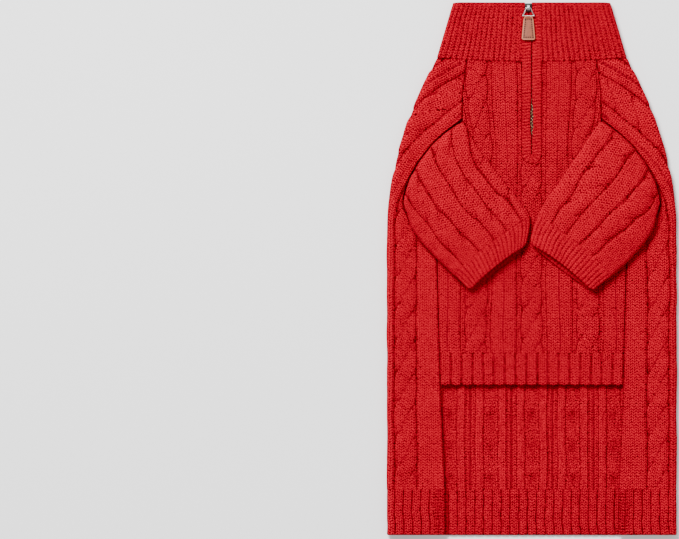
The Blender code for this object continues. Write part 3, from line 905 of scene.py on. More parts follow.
# Shader building.
class Value:
    """A shader socket whose arithmetic adds Math nodes."""

    def __init__(self, tree: "Tree", socket: bpy.types.NodeSocket) -> None:
        """Keep the tree and the socket."""
        self.tree = tree
        self.socket = socket

    def _math(self, operation: str, first: Any, second: Any = None) -> "Value":
        """A Math node on one or two values.

        Args:
            operation: The node's operation.
            first: A value or a number.
            second: A value or a number, where the operation takes two.

        Returns:
            The node's result.
        """
        values = {0: first} if second is None else {0: first, 1: second}
        return self.tree.value("ShaderNodeMath", {"operation": operation}, values)

    def __add__(self, other: Any) -> "Value":
        """Sum."""
        return self._math("ADD", self, other)

    __radd__ = __add__

    def __mul__(self, other: Any) -> "Value":
        """Product."""
        return self._math("MULTIPLY", self, other)

    __rmul__ = __mul__

    def __sub__(self, other: Any) -> "Value":
        """Difference."""
        return self._math("SUBTRACT", self, other)

    def __rsub__(self, other: Any) -> "Value":
        """Difference from a number."""
        return self._math("SUBTRACT", other, self)

    def __pow__(self, other: Any) -> "Value":
        """Power."""
        return self._math("POWER", self, other)

    def __abs__(self) -> "Value":
        """Size without sign."""
        return self._math("ABSOLUTE", self)

    def fraction(self) -> "Value":
        """What is left past the whole number below."""
        return self._math("FRACT", self)

    def sine(self) -> "Value":
        """Sine of the value in radians."""
        return self._math("SINE", self)

    def clamped(self) -> "Value":
        """The value held between 0 and 1."""
        return self._math("MINIMUM", self._math("MAXIMUM", self, 0.0), 1.0)


class Tree:
    """A material's node tree with one Principled shader."""

    def __init__(self, name: str) -> None:
        """Make the material and keep its shader.

        Args:
            name: Name of the material.
        """
        self.material = bpy.data.materials.new(name)
        self.material.use_nodes = True
        self.nodes = self.material.node_tree.nodes
        self.shader = self.nodes["Principled BSDF"]
        self.place = self.node("ShaderNodeTexCoord").outputs["Object"]

    def node(self, kind: str, settings: Optional[dict] = None,
             values: Optional[dict] = None) -> bpy.types.Node:
        """A node of any type.

        Args:
            kind: The node's type.
            settings: Properties, set before its sockets.
            values: Socket numbers or names, with plain values or links.

        Returns:
            The new node.
        """
        node = self.nodes.new(kind)
        for key, setting in (settings or {}).items():
            setattr(node, key, setting)
        for key, value in (values or {}).items():
            self.feed(node.inputs[key], value)
        return node

    def feed(self, socket: bpy.types.NodeSocket, value: Any) -> None:
        """Link or set one socket.

        Args:
            socket: The socket.
            value: A value, a link or a constant.
        """
        if isinstance(value, Value):
            self.material.node_tree.links.new(value.socket, socket)
        elif isinstance(value, bpy.types.NodeSocket):
            self.material.node_tree.links.new(value, socket)
        else:
            socket.default_value = value

    def value(self, kind: str, settings: Optional[dict] = None, values: Optional[dict] = None,
              output: Any = 0) -> Value:
        """The value that a new node gives, as `node` takes it."""
        return Value(self, self.node(kind, settings, values).outputs[output])

    def noise(self, scale: float, detail: float = 2.0, rough: float = 0.5) -> Value:
        """Noise between about 0 and 1 over the piece."""
        return self.value("ShaderNodeTexNoise", None, {
            "Vector": self.place, "Scale": scale, "Detail": detail, "Roughness": rough})

    def split(self, vector: Any) -> tuple[Value, Value]:
        """The first two numbers of a vector."""
        found = self.node("ShaderNodeSeparateXYZ", None, {0: vector})
        return Value(self, found.outputs[0]), Value(self, found.outputs[1])

    def colours(self, share: Value, low: Any, high: Any) -> bpy.types.NodeSocket:
        """A colour mixed by a share, from colours given as three numbers or as links."""
        low, high = ((*part, 1) if isinstance(part, tuple) else part for part in (low, high))
        return self.node("ShaderNodeMix", {"data_type": "RGBA", "clamp_factor": True},
                         {0: share, 6: low, 7: high}).outputs[2]

    def paint(self, share: Value, low: Any, high: Any) -> None:
        """Feed the base colour, mixed as `colours` mixes it."""
        self.feed(self.shader.inputs["Base Color"], self.colours(share, low, high))

    def bump(self, height: Value, distance: float) -> None:
        """Feed a bump to the shader's normal."""
        node = self.node("ShaderNodeBump", None, {"Height": height, "Distance": distance})
        self.feed(self.shader.inputs["Normal"], node.outputs[0])

    def constants(self, **values: Any) -> None:
        """Set plain numbers and colours on the shader's own sockets."""
        for key, value in values.items():
            self.shader.inputs[key.replace("_", " ")].default_value = value


@dataclass(frozen=True)
class ShadeLines:
    """Painted shade lines along the grooves of a repeat: its pitch, where its one or two lines lie,
    how wide and how dark.
    """

    pitch: float
    places: tuple[float, ...] = (0.0,)
    width: float = 0.0007
    dark: float = 0.75

    def mask(self, place: Value, ragged: Value) -> Value:
        """Mask of the lines: 0 on a line, 1 away from it.

        Args:
            place: Metres across the knit.
            ragged: Metres that the lines wander by.

        Returns:
            The mask.
        """
        folded = abs((place * (1.0 / self.pitch) + 0.5).fraction() - 0.5) * self.pitch + ragged
        masks = [(abs(folded - at) * (1.0 / self.width)).clamped() for at in self.places]
        return masks[0] if len(masks) == 1 else masks[0] * masks[1]


@dataclass(frozen=True)
class KnitFinish:
    """Soft matte yarn in V stitches, with painted light and shade on the round legs of the stitches
    and painted shade in the grooves.
    """

    name: str
    lines: ShadeLines
    crown: tuple[float, float, float] = (0.515, 0.0001, 0.0155)
    # groove: the dark end of the colour mix, the painted shade of the grooves and of the gaps
    # between stitches.
    groove: tuple[float, float, float] = (0.03, 0.0001, 0.0005)
    fuzz: tuple[float, float, float] = (0.64, 0.005, 0.026)
    stitch_depth: float = 0.00045
    contrast: float = 1.0
    lean: float = 0.8
    roughness: float = 0.95
    sheen: float = 0.1
    crease_width: float = 0.00055
    crease_shade: float = 0.72

    def material(self) -> Material:
        """The finish as a node material.

        Returns:
            The material.
        """
        tree = Tree(self.name)
        wale, course = self._pair(tree, "Stitches")
        wander = tree.noise(420.0, 1.0) - 0.5
        side = abs((wale + wander * 0.35).fraction() - 0.5)
        leg = ((course + wander * 0.6 - side * self.lean * 2.0) * (2 * math.pi)).sine()
        # Painted light along the middle of each stitch's round legs and painted shade towards their
        # sides and gaps; the same pattern drives the bump.
        round_leg = 1.0 - (side * 4.0 - 1.0) ** 2.0
        stitch = (round_leg * (leg * 0.5 + 0.5)).clamped()
        mottle = tree.noise(620.0, 2.0, 0.6)
        fuzz = tree.noise(1500.0, 3.0, 0.65)
        cloud = tree.noise(70.0, 2.0)
        shade = self._shade(tree, wander, course)
        # Painted light and shade of the stitches, times the painted shade of the grooves, with
        # mottle, fuzz and clouds, mixes the groove colour into the crown colour.
        yarn = ((stitch * 1.9).clamped() - 0.53) * self.contrast + 0.62
        light = (shade * yarn + (mottle - 0.5) * (1.2 * self.contrast) + (fuzz - 0.5) * 0.9
                 + (cloud - 0.5) * 0.22)
        body = tree.colours(light.clamped(), self.groove, self.crown)
        # Paler fuzz fibres, partly the yarn's own tone and partly painted highlight, as they show
        # only where the painted shade is light.
        tree.paint(((fuzz - 0.54) * 6.0).clamped() * shade * 0.6, body, self.fuzz)
        tree.bump(stitch + mottle + (fuzz - 0.5) * 1.2, self.stitch_depth * self.contrast)
        tree.constants(Roughness=self.roughness, Sheen_Weight=self.sheen, Sheen_Roughness=0.5,
                       Sheen_Tint=(1.0, 0.005, 0.06, 1.0), Specular_IOR_Level=0.0)
        return tree.material

    def _shade(self, tree: Tree, wander: Value, course: Value) -> Value:
        """The grooves' shade: soft from the pattern, sharp and broken along the lines.

        Args:
            tree: The material's tree.
            wander: Noise about 0.
            course: Stitches along the knit.

        Returns:
            The shade, 0 to 1.
        """
        place, strength = self._pair(tree, "ShadeLines")
        crease, cross = self._pair(tree, "Creases")
        ragged = wander * 0.0012
        broken = (course * math.pi).sine() * 0.12 + 0.88
        line = (1.0 - self.lines.mask(place, ragged)) * strength * broken
        # Painted shade along the crease where one strand of a cable crosses the other.
        fold = (1.0 - (abs(crease + ragged) * (1.0 / self.crease_width)).clamped()) * cross
        soft = tree.value("ShaderNodeAttribute", {"attribute_name": "shade"}, None, "Fac")
        return soft * (1.0 - line * self.lines.dark) * (1.0 - fold * self.crease_shade)

    @staticmethod
    def _pair(tree: Tree, layer: str) -> tuple[Value, Value]:
        """The two values that a map holds."""
        return tree.split(tree.node("ShaderNodeUVMap", {"uv_map": layer}).outputs[0])


@dataclass(frozen=True)
class TapeFinish:
    """Woven zip tape: fine twill lines."""

    name: str
    colour: tuple[float, float, float] = (0.06, 0.001, 0.003)

    def material(self) -> Material:
        """The finish as a node material.

        Returns:
            The material.
        """
        tree = Tree(self.name)
        x, y = tree.split(tree.place)
        twill = ((x + y) * (2 * math.pi / 0.0009)).sine() * 0.5 + 0.5
        tree.paint(twill, tuple(c * 0.45 for c in self.colour), self.colour)
        tree.bump(twill, 0.0001)
        tree.constants(Roughness=0.8)
        return tree.material


@dataclass(frozen=True)
class MetalFinish:
    """Plated metal with fine scratches and a little tarnish."""

    name: str
    colour: tuple[float, float, float]
    dull: tuple[float, float, float]
    roughness: float = 0.22

    def material(self) -> Material:
        """The finish as a node material.

        Returns:
            The material.
        """
        tree = Tree(self.name)
        worn = tree.noise(900.0, 3.0)
        tree.paint(((worn - 0.45) * 4.0).clamped(), self.colour, self.dull)
        tree.feed(tree.shader.inputs["Roughness"], worn * 0.25 + self.roughness - 0.1)
        tree.bump(worn, 0.00003)
        tree.constants(Metallic=1.0)
        return tree.material


@dataclass(frozen=True)
class LeatherFinish:
    """Smooth tan leather: fine grain, paler worn edges."""

    name: str
    colour: tuple[float, float, float] = (0.26, 0.062, 0.025)
    edge: tuple[float, float, float] = (0.44, 0.15, 0.078)

    def material(self) -> Material:
        """The finish as a node material.

        Returns:
            The material.
        """
        tree = Tree(self.name)
        worn = tree.value("ShaderNodeAttribute", {"attribute_name": "shade"}, None, "Fac")
        grain = tree.value("ShaderNodeTexVoronoi", None, {"Vector": tree.place, "Scale": 2600.0})
        cloud = tree.noise(500.0, 4.0, 0.6)
        deep = tuple(c * 0.5 for c in self.colour)
        body = tree.colours((cloud * 1.7 - 0.35).clamped(), deep, self.colour)
        tree.paint(worn, body, self.edge)
        tree.feed(tree.shader.inputs["Roughness"], cloud * 0.2 + 0.38)
        tree.bump(grain * 0.6 + cloud * 0.4, 0.00006)
        return tree.material


@dataclass(frozen=True)
class PlainFinish:
    """Thread, floor paint and the like: one colour with faint clouds."""

    name: str
    colour: tuple[float, float, float]
    roughness: float = 0.8
    scale: float = 300.0

    def material(self) -> Material:
        """The finish as a node material.

        Returns:
            The material.
        """
        tree = Tree(self.name)
        tree.paint(tree.noise(self.scale), tuple(c * 0.93 for c in self.colour), self.colour)
        tree.constants(Roughness=self.roughness)
        return tree.material


# Cloth pieces.
RIM_STEPS = (0.0002, 0.0006, 0.0012)


@dataclass
class ClothPiece:
    """A piece of the garment: its name, node, slot and finish, and how it is laid."""

    layout: Layout
    name: str
    slot: str
    material: Material
    rests_on: tuple[str, ...] = ()
    held: str = "laid"

    LEAST_CUT = 0.0101

    def dress(self, obj: Object, surface: Surface,
              with_pieces: Sequence = ()) -> Object:
        """Give a built piece its finish and its body.

        Args:
            obj: The built object.
            surface: Its smooth face, which is what was cut.
            with_pieces: Pieces that sit on it; not used.

        Returns:
            The same object.
        """
        dressed(obj, self.material, "sweater", self.name.replace("knit_", ""))
        width, length = surface.spans()
        width = max(width, self.LEAST_CUT)
        area = min(surface.area(), width * length)
        return obj

    def laid(self, surface: Surface, relief: Relief, back: Relief, edge: Array,
             rim: float = 0.00105, skip: int = 1, with_pieces: Sequence = ()) -> Object:
        """Build the piece as one shell and dress it.

        Args:
            surface: Its smooth outer face.
            relief: Relief of the outer face.
            back: Relief of the inner face.
            edge: Distance of each grid point from the nearest free edge.
            rim: Radius of its rounded edges.
            skip: How many outer rows one inner row stands for.
            with_pieces: Pieces that sit on it.

        Returns:
            The dressed piece.
        """
        obj = build_shell(self.name, surface, relief, back, edge, self.layout.wall, rim, skip)
        return self.dress(obj, surface, with_pieces)


@dataclass(frozen=True)
class WrapStep:
    """Grid spacing of a wrapped piece."""

    wing: float = 0.00078
    arc: int = 15
    under: float = 0.00118
    row: float = 0.0018


@dataclass
class WrappedPiece(ClothPiece):
    """A piece whose wall folds round both sides of the garment to the front."""

    step: WrapStep = field(default_factory=WrapStep)

    def wrap(self, ys: Array, half_widths: Array, edges: Array, front_dips: Array,
             back_dips: Array) -> tuple[Surface, Array]:
        """The wrapped grid and its flat coordinates.

        Args:
            ys: Rows, rising.
            half_widths: Half the width at each row.
            edges: Where the wings end at each row.
            front_dips: How far the front layer dips at each row's middle.
            back_dips: The same for the back layer.

        Returns:
            The surface and the distance from the side edges.
        """
        lay, radius = self.layout, self.layout.fold_radius
        wing_length = float((half_widths - radius - edges).max())
        wing = spaced(0.0, wing_length, self.step.wing, RIM_STEPS) / wing_length
        arc = (np.arange(self.step.arc) + 1) / (self.step.arc + 1)
        under_length = 2 * float((half_widths - radius).max())
        under = np.linspace(0.0, 1.0, int(under_length / self.step.under) + 1)
        hw, edge, y = half_widths[:, None], edges[:, None], ys[:, None]
        fold = hw - radius
        wing_x = mix(edge, fold, wing[None])
        wing_z = lay.front_height(hw, wing_x)
        angle = math.pi * (0.5 - arc[None])
        arc_x, arc_z = fold + radius * np.cos(angle), radius * (1 + np.sin(angle)) + 0 * hw
        under_x = fold * (1 - 2 * under[None])
        wing_flat, start = self._unfolded(wing_x, y), self._unfolded(fold, y)
        arc_flat = (mix(start[0], fold, arc[None]), mix(start[1], y, arc[None]))
        x = self._round(wing_x, arc_x, under_x, -1)
        z = self._round(wing_z, arc_z, 0 * under_x)
        flat_x = self._round(wing_flat[0], arc_flat[0], under_x, -1)
        flat_y = self._round(wing_flat[1], arc_flat[1], y + 0 * under_x) + 0 * x
        turned = smoothstep((arc[None] - 0.3) / 0.4)
        below = self._round(0 * wing_x, turned + 0 * arc_x, 1 + 0 * under_x)
        side = self._round(wing_x - edge, 1 + 0 * arc_x, 1 + 0 * under_x)
        bulge = np.clip(1.0 - (x / hw) ** 2, 0.0, None)
        dip = mix(front_dips[:, None], back_dips[:, None], below) * bulge
        surface = Surface(np.stack([x, y - dip, z], axis=2), flat_x, flat_y)
        return surface.turned_up(len(ys) // 2, 3), side

    @staticmethod
    def _round(wing: Array, fold: Array, under: Array, sign: int = 1) -> Array:
        """Values in order round the garment: wing, fold, underside, then fold and wing again."""
        return np.concatenate([wing, fold, under, sign * fold[:, ::-1], sign * wing[:, ::-1]], 1)

    def _unfolded(self, x: Array, y: Array) -> tuple[Array, Array]:
        """Where a point of the front layer lies when the side fold is opened out flat.

        Args:
            x: Metres from the centre line.
            y: Metres along the garment.

        Returns:
            Its flat x and y.
        """
        slope = self.layout.shoulder_slope(y)
        length = np.sqrt(1 + slope * slope)
        away = (self.layout.body_half_width(y) - x) / length
        return x + 2 * away / length, y - 2 * away * slope / length


@dataclass
class BackPanel(WrappedPiece):
    """Back panel with its cables, its wings on the front and its purl side in the window."""

    knit: CableKnit = field(default_factory=lambda: CableKnit(
        pitch=0.03075, outermost=4, hand=-1, start=0.006, groove=0.0012))
    lean: float = 0.07
    lean_start_y: float = 0.04
    lean_rise: float = 0.105
    lean_width: float = 0.075
    sway: float = 0.00045
    unevenness: float = 0.00028

    def build(self) -> Object:
        """Build and dress the panel.

        Returns:
            The panel.
        """
        lay = self.layout
        ys = spaced(lay.back_rib_top_y, lay.neck_y - lay.gap / 10, self.step.row)
        ys = np.concatenate([ys[:-1], ys[-1] - np.array([0.0011, 0.0005, 0.0])])
        if len(ys) % 2 == 0:
            ys = np.insert(ys, 1, (ys[0] + ys[1]) / 2)
        share = lay.dip_share(ys)
        surface, side = self.wrap(
            ys, lay.body_half_width(ys), lay.edge("back_edge", ys),
            lay.dip_front * share, lay.dip_back * share)
        flat_x, flat_y = surface.wale, surface.course
        widen = smoothstep((flat_y - self.lean_start_y) / self.lean_rise) * self.lean
        wale = flat_x / (1 + widen * np.abs(flat_x) / self.lean_width)
        wale = wale + self.sway * Drift(11, 0.06).at(flat_x, flat_y)
        relief = self.knit.relief(wale, flat_y)
        purl = self.knit.purl_relief(wale, flat_y)
        from_neck = ys[-1] - ys[:, None]
        edge = np.minimum(side, SEAM_ROUNDING + from_neck)
        top = surface.points[..., 2] > lay.fold_radius
        wander = self.unevenness * Drift(12, 0.035).at(flat_x, flat_y)
        # Painted shade along the wings' free edges and along the neck seam.
        relief = relief.changed(np.where(top, wander, -np.abs(wander)),
                                painted_edge_shade(side) * painted_edge_shade(from_neck, 0.3))
        return self.laid(surface, relief, purl, edge, skip=2)


@dataclass
class BackHemRib(WrappedPiece):
    """Ribbed rear hem, whose inner edge on the wings is knitted sideways."""

    step: WrapStep = field(default_factory=lambda: WrapStep(row=0.00075))
    knit: RibKnit = field(default_factory=lambda: RibKnit(
        pitch=0.00656, groove=0.001, depth=0.0009, shift=0.0033, wales=2.1))
    stripe: StripeKnit = field(default_factory=StripeKnit)
    stripe_start: float = 0.1425

    def build(self) -> Object:
        """Build and dress the hem.

        Returns:
            The hem.
        """
        lay = self.layout
        ys = spaced(lay.hem_y, lay.back_rib_top_y, self.step.row, RIM_STEPS)
        ys = np.concatenate([ys[:-4], ys[-1:]])
        one = np.ones_like(ys)
        surface, side = self.wrap(
            ys, lay.half_width * one, lay.edge("back_edge", ys), 0 * one, 0 * one)
        flat_x, flat_y = surface.wale, surface.course
        wale = flat_x + 0.0004 * Drift(21, 0.02).at(flat_x * 0.3, flat_y)
        ribs = self.knit.relief(wale, flat_y)
        band = replace(self.stripe.relief(wale, flat_y), stitch=ribs.stitch)
        relief = blended(ribs, band, smoothstep((np.abs(wale) - self.stripe_start) / 0.002))
        # Painted shade along the wings' free edges.
        relief = relief.changed(shade=painted_edge_shade(side))
        return self.laid(surface, relief, ribs, np.minimum(side, ys[:, None] - lay.hem_y))


@dataclass(frozen=True)
class Crease:
    """A soft trough or ridge from one plan point to another."""

    x0: float
    y0: float
    x1: float
    y1: float
    width: float
    depth: float


def creased(creases: Sequence[Crease], x: Array, y: Array) -> Array:
    """Height that creases add at plan points.

    Args:
        creases: Troughs, with negative depth, and ridges.
        x: Plan x of each point.
        y: Plan y of each point.

    Returns:
        The added height in metres.
    """
    total = np.zeros_like(x)
    for crease in creases:
        dx, dy = crease.x1 - crease.x0, crease.y1 - crease.y0
        along = ((x - crease.x0) * dx + (y - crease.y0) * dy) / (dx * dx + dy * dy)
        near = np.clip(along, 0.0, 1.0)
        off = np.hypot(x - crease.x0 - near * dx, y - crease.y0 - near * dy)
        fade = 1.0 - 0.5 * np.abs(2 * near - 1) ** 2
        total += crease.depth * fade * np.exp(-((off / crease.width) ** 2))
    return total


@dataclass
class FrontPiece(ClothPiece):
    """A piece of the front layer, between the two side seams."""

    column_step: float = 0.00082
    row_step: float = 0.0014

    def front_grid(self, ys: Array, inner: Array) -> tuple[Surface, Array]:
        """Grid in two halves, from an inner line to the side seam.

        Args:
            ys: Rows, rising.
            inner: Where each half starts, from the centre line, at each row.

        Returns:
            The surface and the distance from the side seams.
        """
        lay = self.layout
        edges = lay.edge("front_edge", ys)
        reach = float((edges - inner).max())
        shares = spaced(0.0, reach, self.column_step, RIM_STEPS) / reach
        half = mix(inner[:, None], edges[:, None], shares[None])
        x = np.concatenate([-half[:, ::-1], half], axis=1)
        y = ys[:, None] + 0 * x
        bulge = np.clip(1.0 - (x / lay.neck_half_width) ** 2, 0.0, None)
        dip = lay.dip_front * bulge * lay.dip_share(y)
        z = lay.front_height(lay.body_half_width(y), x)
        return Surface(np.stack([x, y - dip, z], axis=2), x, y), edges[:, None] - np.abs(x)


@dataclass
class FrontPanel(FrontPiece):
    """Chest and belly with wide-set cables, slotted for the zip."""

    knit: CableKnit = field(default_factory=lambda: CableKnit(
        pitch=0.042, outermost=2, half_cable=0.0083, groove=0.0034, crossing=0.0225,
        start=0.002, depth=0.00115))
    pinch: float = 0.12
    pinch_y: float = 0.082
    pinch_reach: float = 0.045
    sway: float = 0.0005
    unevenness: float = 0.00022

    CREASES = (
        Crease(-0.013, 0.064, -0.002, 0.04, 0.0035, -0.001),
        Crease(0.013, 0.064, 0.003, 0.04, 0.0035, -0.001),
        Crease(-0.004, 0.072, 0.005, 0.064, 0.003, -0.0007),
        Crease(-0.024, 0.085, -0.02, 0.06, 0.003, -0.0008),
        Crease(0.029, 0.09, 0.02, 0.06, 0.003, -0.0008),
    )

    def build(self) -> Object:
        """Build and dress the panel.

        Returns:
            The panel.
        """
        lay = self.layout
        reach = lay.band_half_width + lay.gap
        top, foot = lay.neck_y - lay.gap / 10, lay.slit_end_y - reach
        below = spaced(lay.front_rib_top_y, foot, self.row_step)
        bowl = foot + reach * (1 - np.cos(np.linspace(0.0, math.pi / 2, 12)))[1:]
        above = spaced(lay.slit_end_y, top, self.row_step)[1:]
        above = np.concatenate([above[:-1], top - np.array([0.0009, 0.0004, 0.0])])
        ys = np.concatenate([below, bowl, above])
        hollow = np.clip(lay.slit_end_y - ys, 0.0, reach)
        slot = np.where(ys > foot + 1e-6, np.sqrt(reach ** 2 - hollow ** 2), 0.0)
        surface, side = self.front_grid(ys, slot)
        x, y = surface.wale, surface.course
        pinch = 1.0 - self.pinch * np.exp(-(((y - self.pinch_y) / self.pinch_reach) ** 2))
        wale = x / pinch + self.sway * Drift(31, 0.05).at(x, y)
        relief = self.knit.relief(wale, y)
        purl = self.knit.purl_relief(wale, y)
        inner_edge = np.where(slot[:, None] > 0, np.abs(x) - slot[:, None], 1.0)
        edge = np.minimum(side, SEAM_ROUNDING + np.minimum(inner_edge, top - ys[:, None]))
        lift = creased(self.CREASES, x, y) + self.unevenness * Drift(32, 0.03).at(x, y)
        # Painted shade along the neck seam.
        relief = relief.changed(lift, painted_edge_shade(top - ys[:, None], 0.3))
        return self.dress(self._two_halves(surface, relief, purl, edge, slot), surface)

    def _two_halves(self, surface: Surface, relief: Relief, purl: Relief, edge: Array,
                    slot: Array) -> Object:
        """Build the left and right halves and weld them below the slot.

        Args:
            surface: The whole panel's smooth face.
            relief: Relief of its outer face.
            purl: Relief of its inner face.
            edge: Distance of each grid point from the nearest free edge.
            slot: Half the slot's width at each row.

        Returns:
            The welded panel.
        """
        middle = surface.points.shape[1] // 2
        open_rows = (slot[1:] > 0) | (slot[:-1] > 0)
        halves = [build_shell(self.name, surface.part(part), relief.part(part), purl.part(part),
                              edge[:, part], self.layout.wall, 0.001, sides=sides)
                  for part, sides in ((slice(None, middle), (None, open_rows)),
                                      (slice(middle, None), (open_rows, None)))]
        return joined(self.name, halves, 2e-6)


@dataclass
class FrontHemRib(FrontPiece):
    """Ribbed hem of the belly."""

    knit: RibKnit = field(default_factory=lambda: RibKnit(
        pitch=0.0081, groove=0.0011, depth=0.001, shift=0.004, wales=2.6))

    def build(self) -> Object:
        """Build and dress the hem.

        Returns:
            The hem.
        """
        lay = self.layout
        ys = spaced(lay.front_hem_y, lay.front_rib_top_y, self.row_step, RIM_STEPS)
        ys = np.concatenate([ys[:-4], ys[-1:]])
        surface, side = self.front_grid(ys, 0 * ys)
        columns = surface.points.shape[1]
        keep = np.r_[0:columns // 2, columns // 2 + 1:columns]
        surface = surface.part(keep)
        x, y = surface.wale, surface.course
        wale = x + 0.0003 * Drift(41, 0.02).at(x * 0.3, y)
        relief = self.knit.relief(wale, y)
        edge = np.minimum(side[:, keep], ys[:, None] - lay.front_hem_y)
        scallop = 0.0004 * np.cos(2 * math.pi * (x + 0.004) / self.knit.pitch)
        fade = smoothstep(1.0 - (ys[:, None] - lay.front_hem_y) / 0.006)
        surface.points[..., 1] += scallop * fade
        return self.laid(surface, relief, relief, edge)


@dataclass
class Collar(WrappedPiece):
    """Turtleneck in fine rib with a plain turned top, open in front for the zip."""

    step: WrapStep = field(default_factory=lambda: WrapStep(0.0005, 15, 0.0008))
    knit: RibKnit = field(default_factory=lambda: RibKnit(
        pitch=0.004, groove=0.001, depth=0.00075, shift=0.002))
    plain_top: float = 0.005
    plain_left: float = 0.0135
    open_gap: float = -0.00012

    def build(self) -> Object:
        """Build and dress the collar.

        Returns:
            The collar.
        """
        lay = self.layout
        low = lay.neck_y + lay.gap / 10
        ys = spaced(low, lay.collar_top_y, self.step.row, (0.0003, 0.0008, 0.0014))
        share = (ys - low) / (lay.collar_top_y - low)
        surface, side = self.wrap(
            ys, lay.collar_half_width(ys), lay.band_half_width + self.open_gap + 0 * ys,
            lay.dip_front * (1 - share), mix(lay.dip_back, lay.collar_dip_back, share))
        flat_y = surface.course
        x = surface.points[..., 0]
        half = lay.collar_half_width(ys)[:, None]
        turn = surface.points[..., 2] > lay.fold_radius
        round_x = np.where(turn, np.sign(x) * (2 * half - np.abs(x)), x)
        wale = round_x * lay.neck_half_width / half + 0.00022 * Drift(51, 0.03).at(x, flat_y)
        relief = self.knit.relief(wale, flat_y)
        plain = smoothstep((ys[:, None] - lay.collar_top_y + self.plain_top) / 0.0024)
        beside = (x < 0) & (x > -self.plain_left) & turn
        plain = np.maximum(plain, np.where(beside, 1.0, 0.0))
        smooth = Relief(0 * wale - 0.0001, 0 * wale + 0.95, relief.stitch, marked(wale, 0.0))
        relief = blended(relief, smooth, plain)
        # Painted shade along the collar's seam at the neck.
        relief = relief.changed(shade=painted_edge_shade(ys[:, None] - low, 0.3))
        seam = SEAM_ROUNDING + np.minimum(side, ys[:, None] - low)
        edge = np.minimum(seam, lay.collar_top_y - ys[:, None])
        return self.laid(surface, relief, relief, edge, 0.001)

    def _unfolded(self, x: Array, y: Array) -> tuple[Array, Array]:
        """The front of the collar keeps its own place: its ribs fan with its sides."""
        return x + 0 * y, y + 0 * x


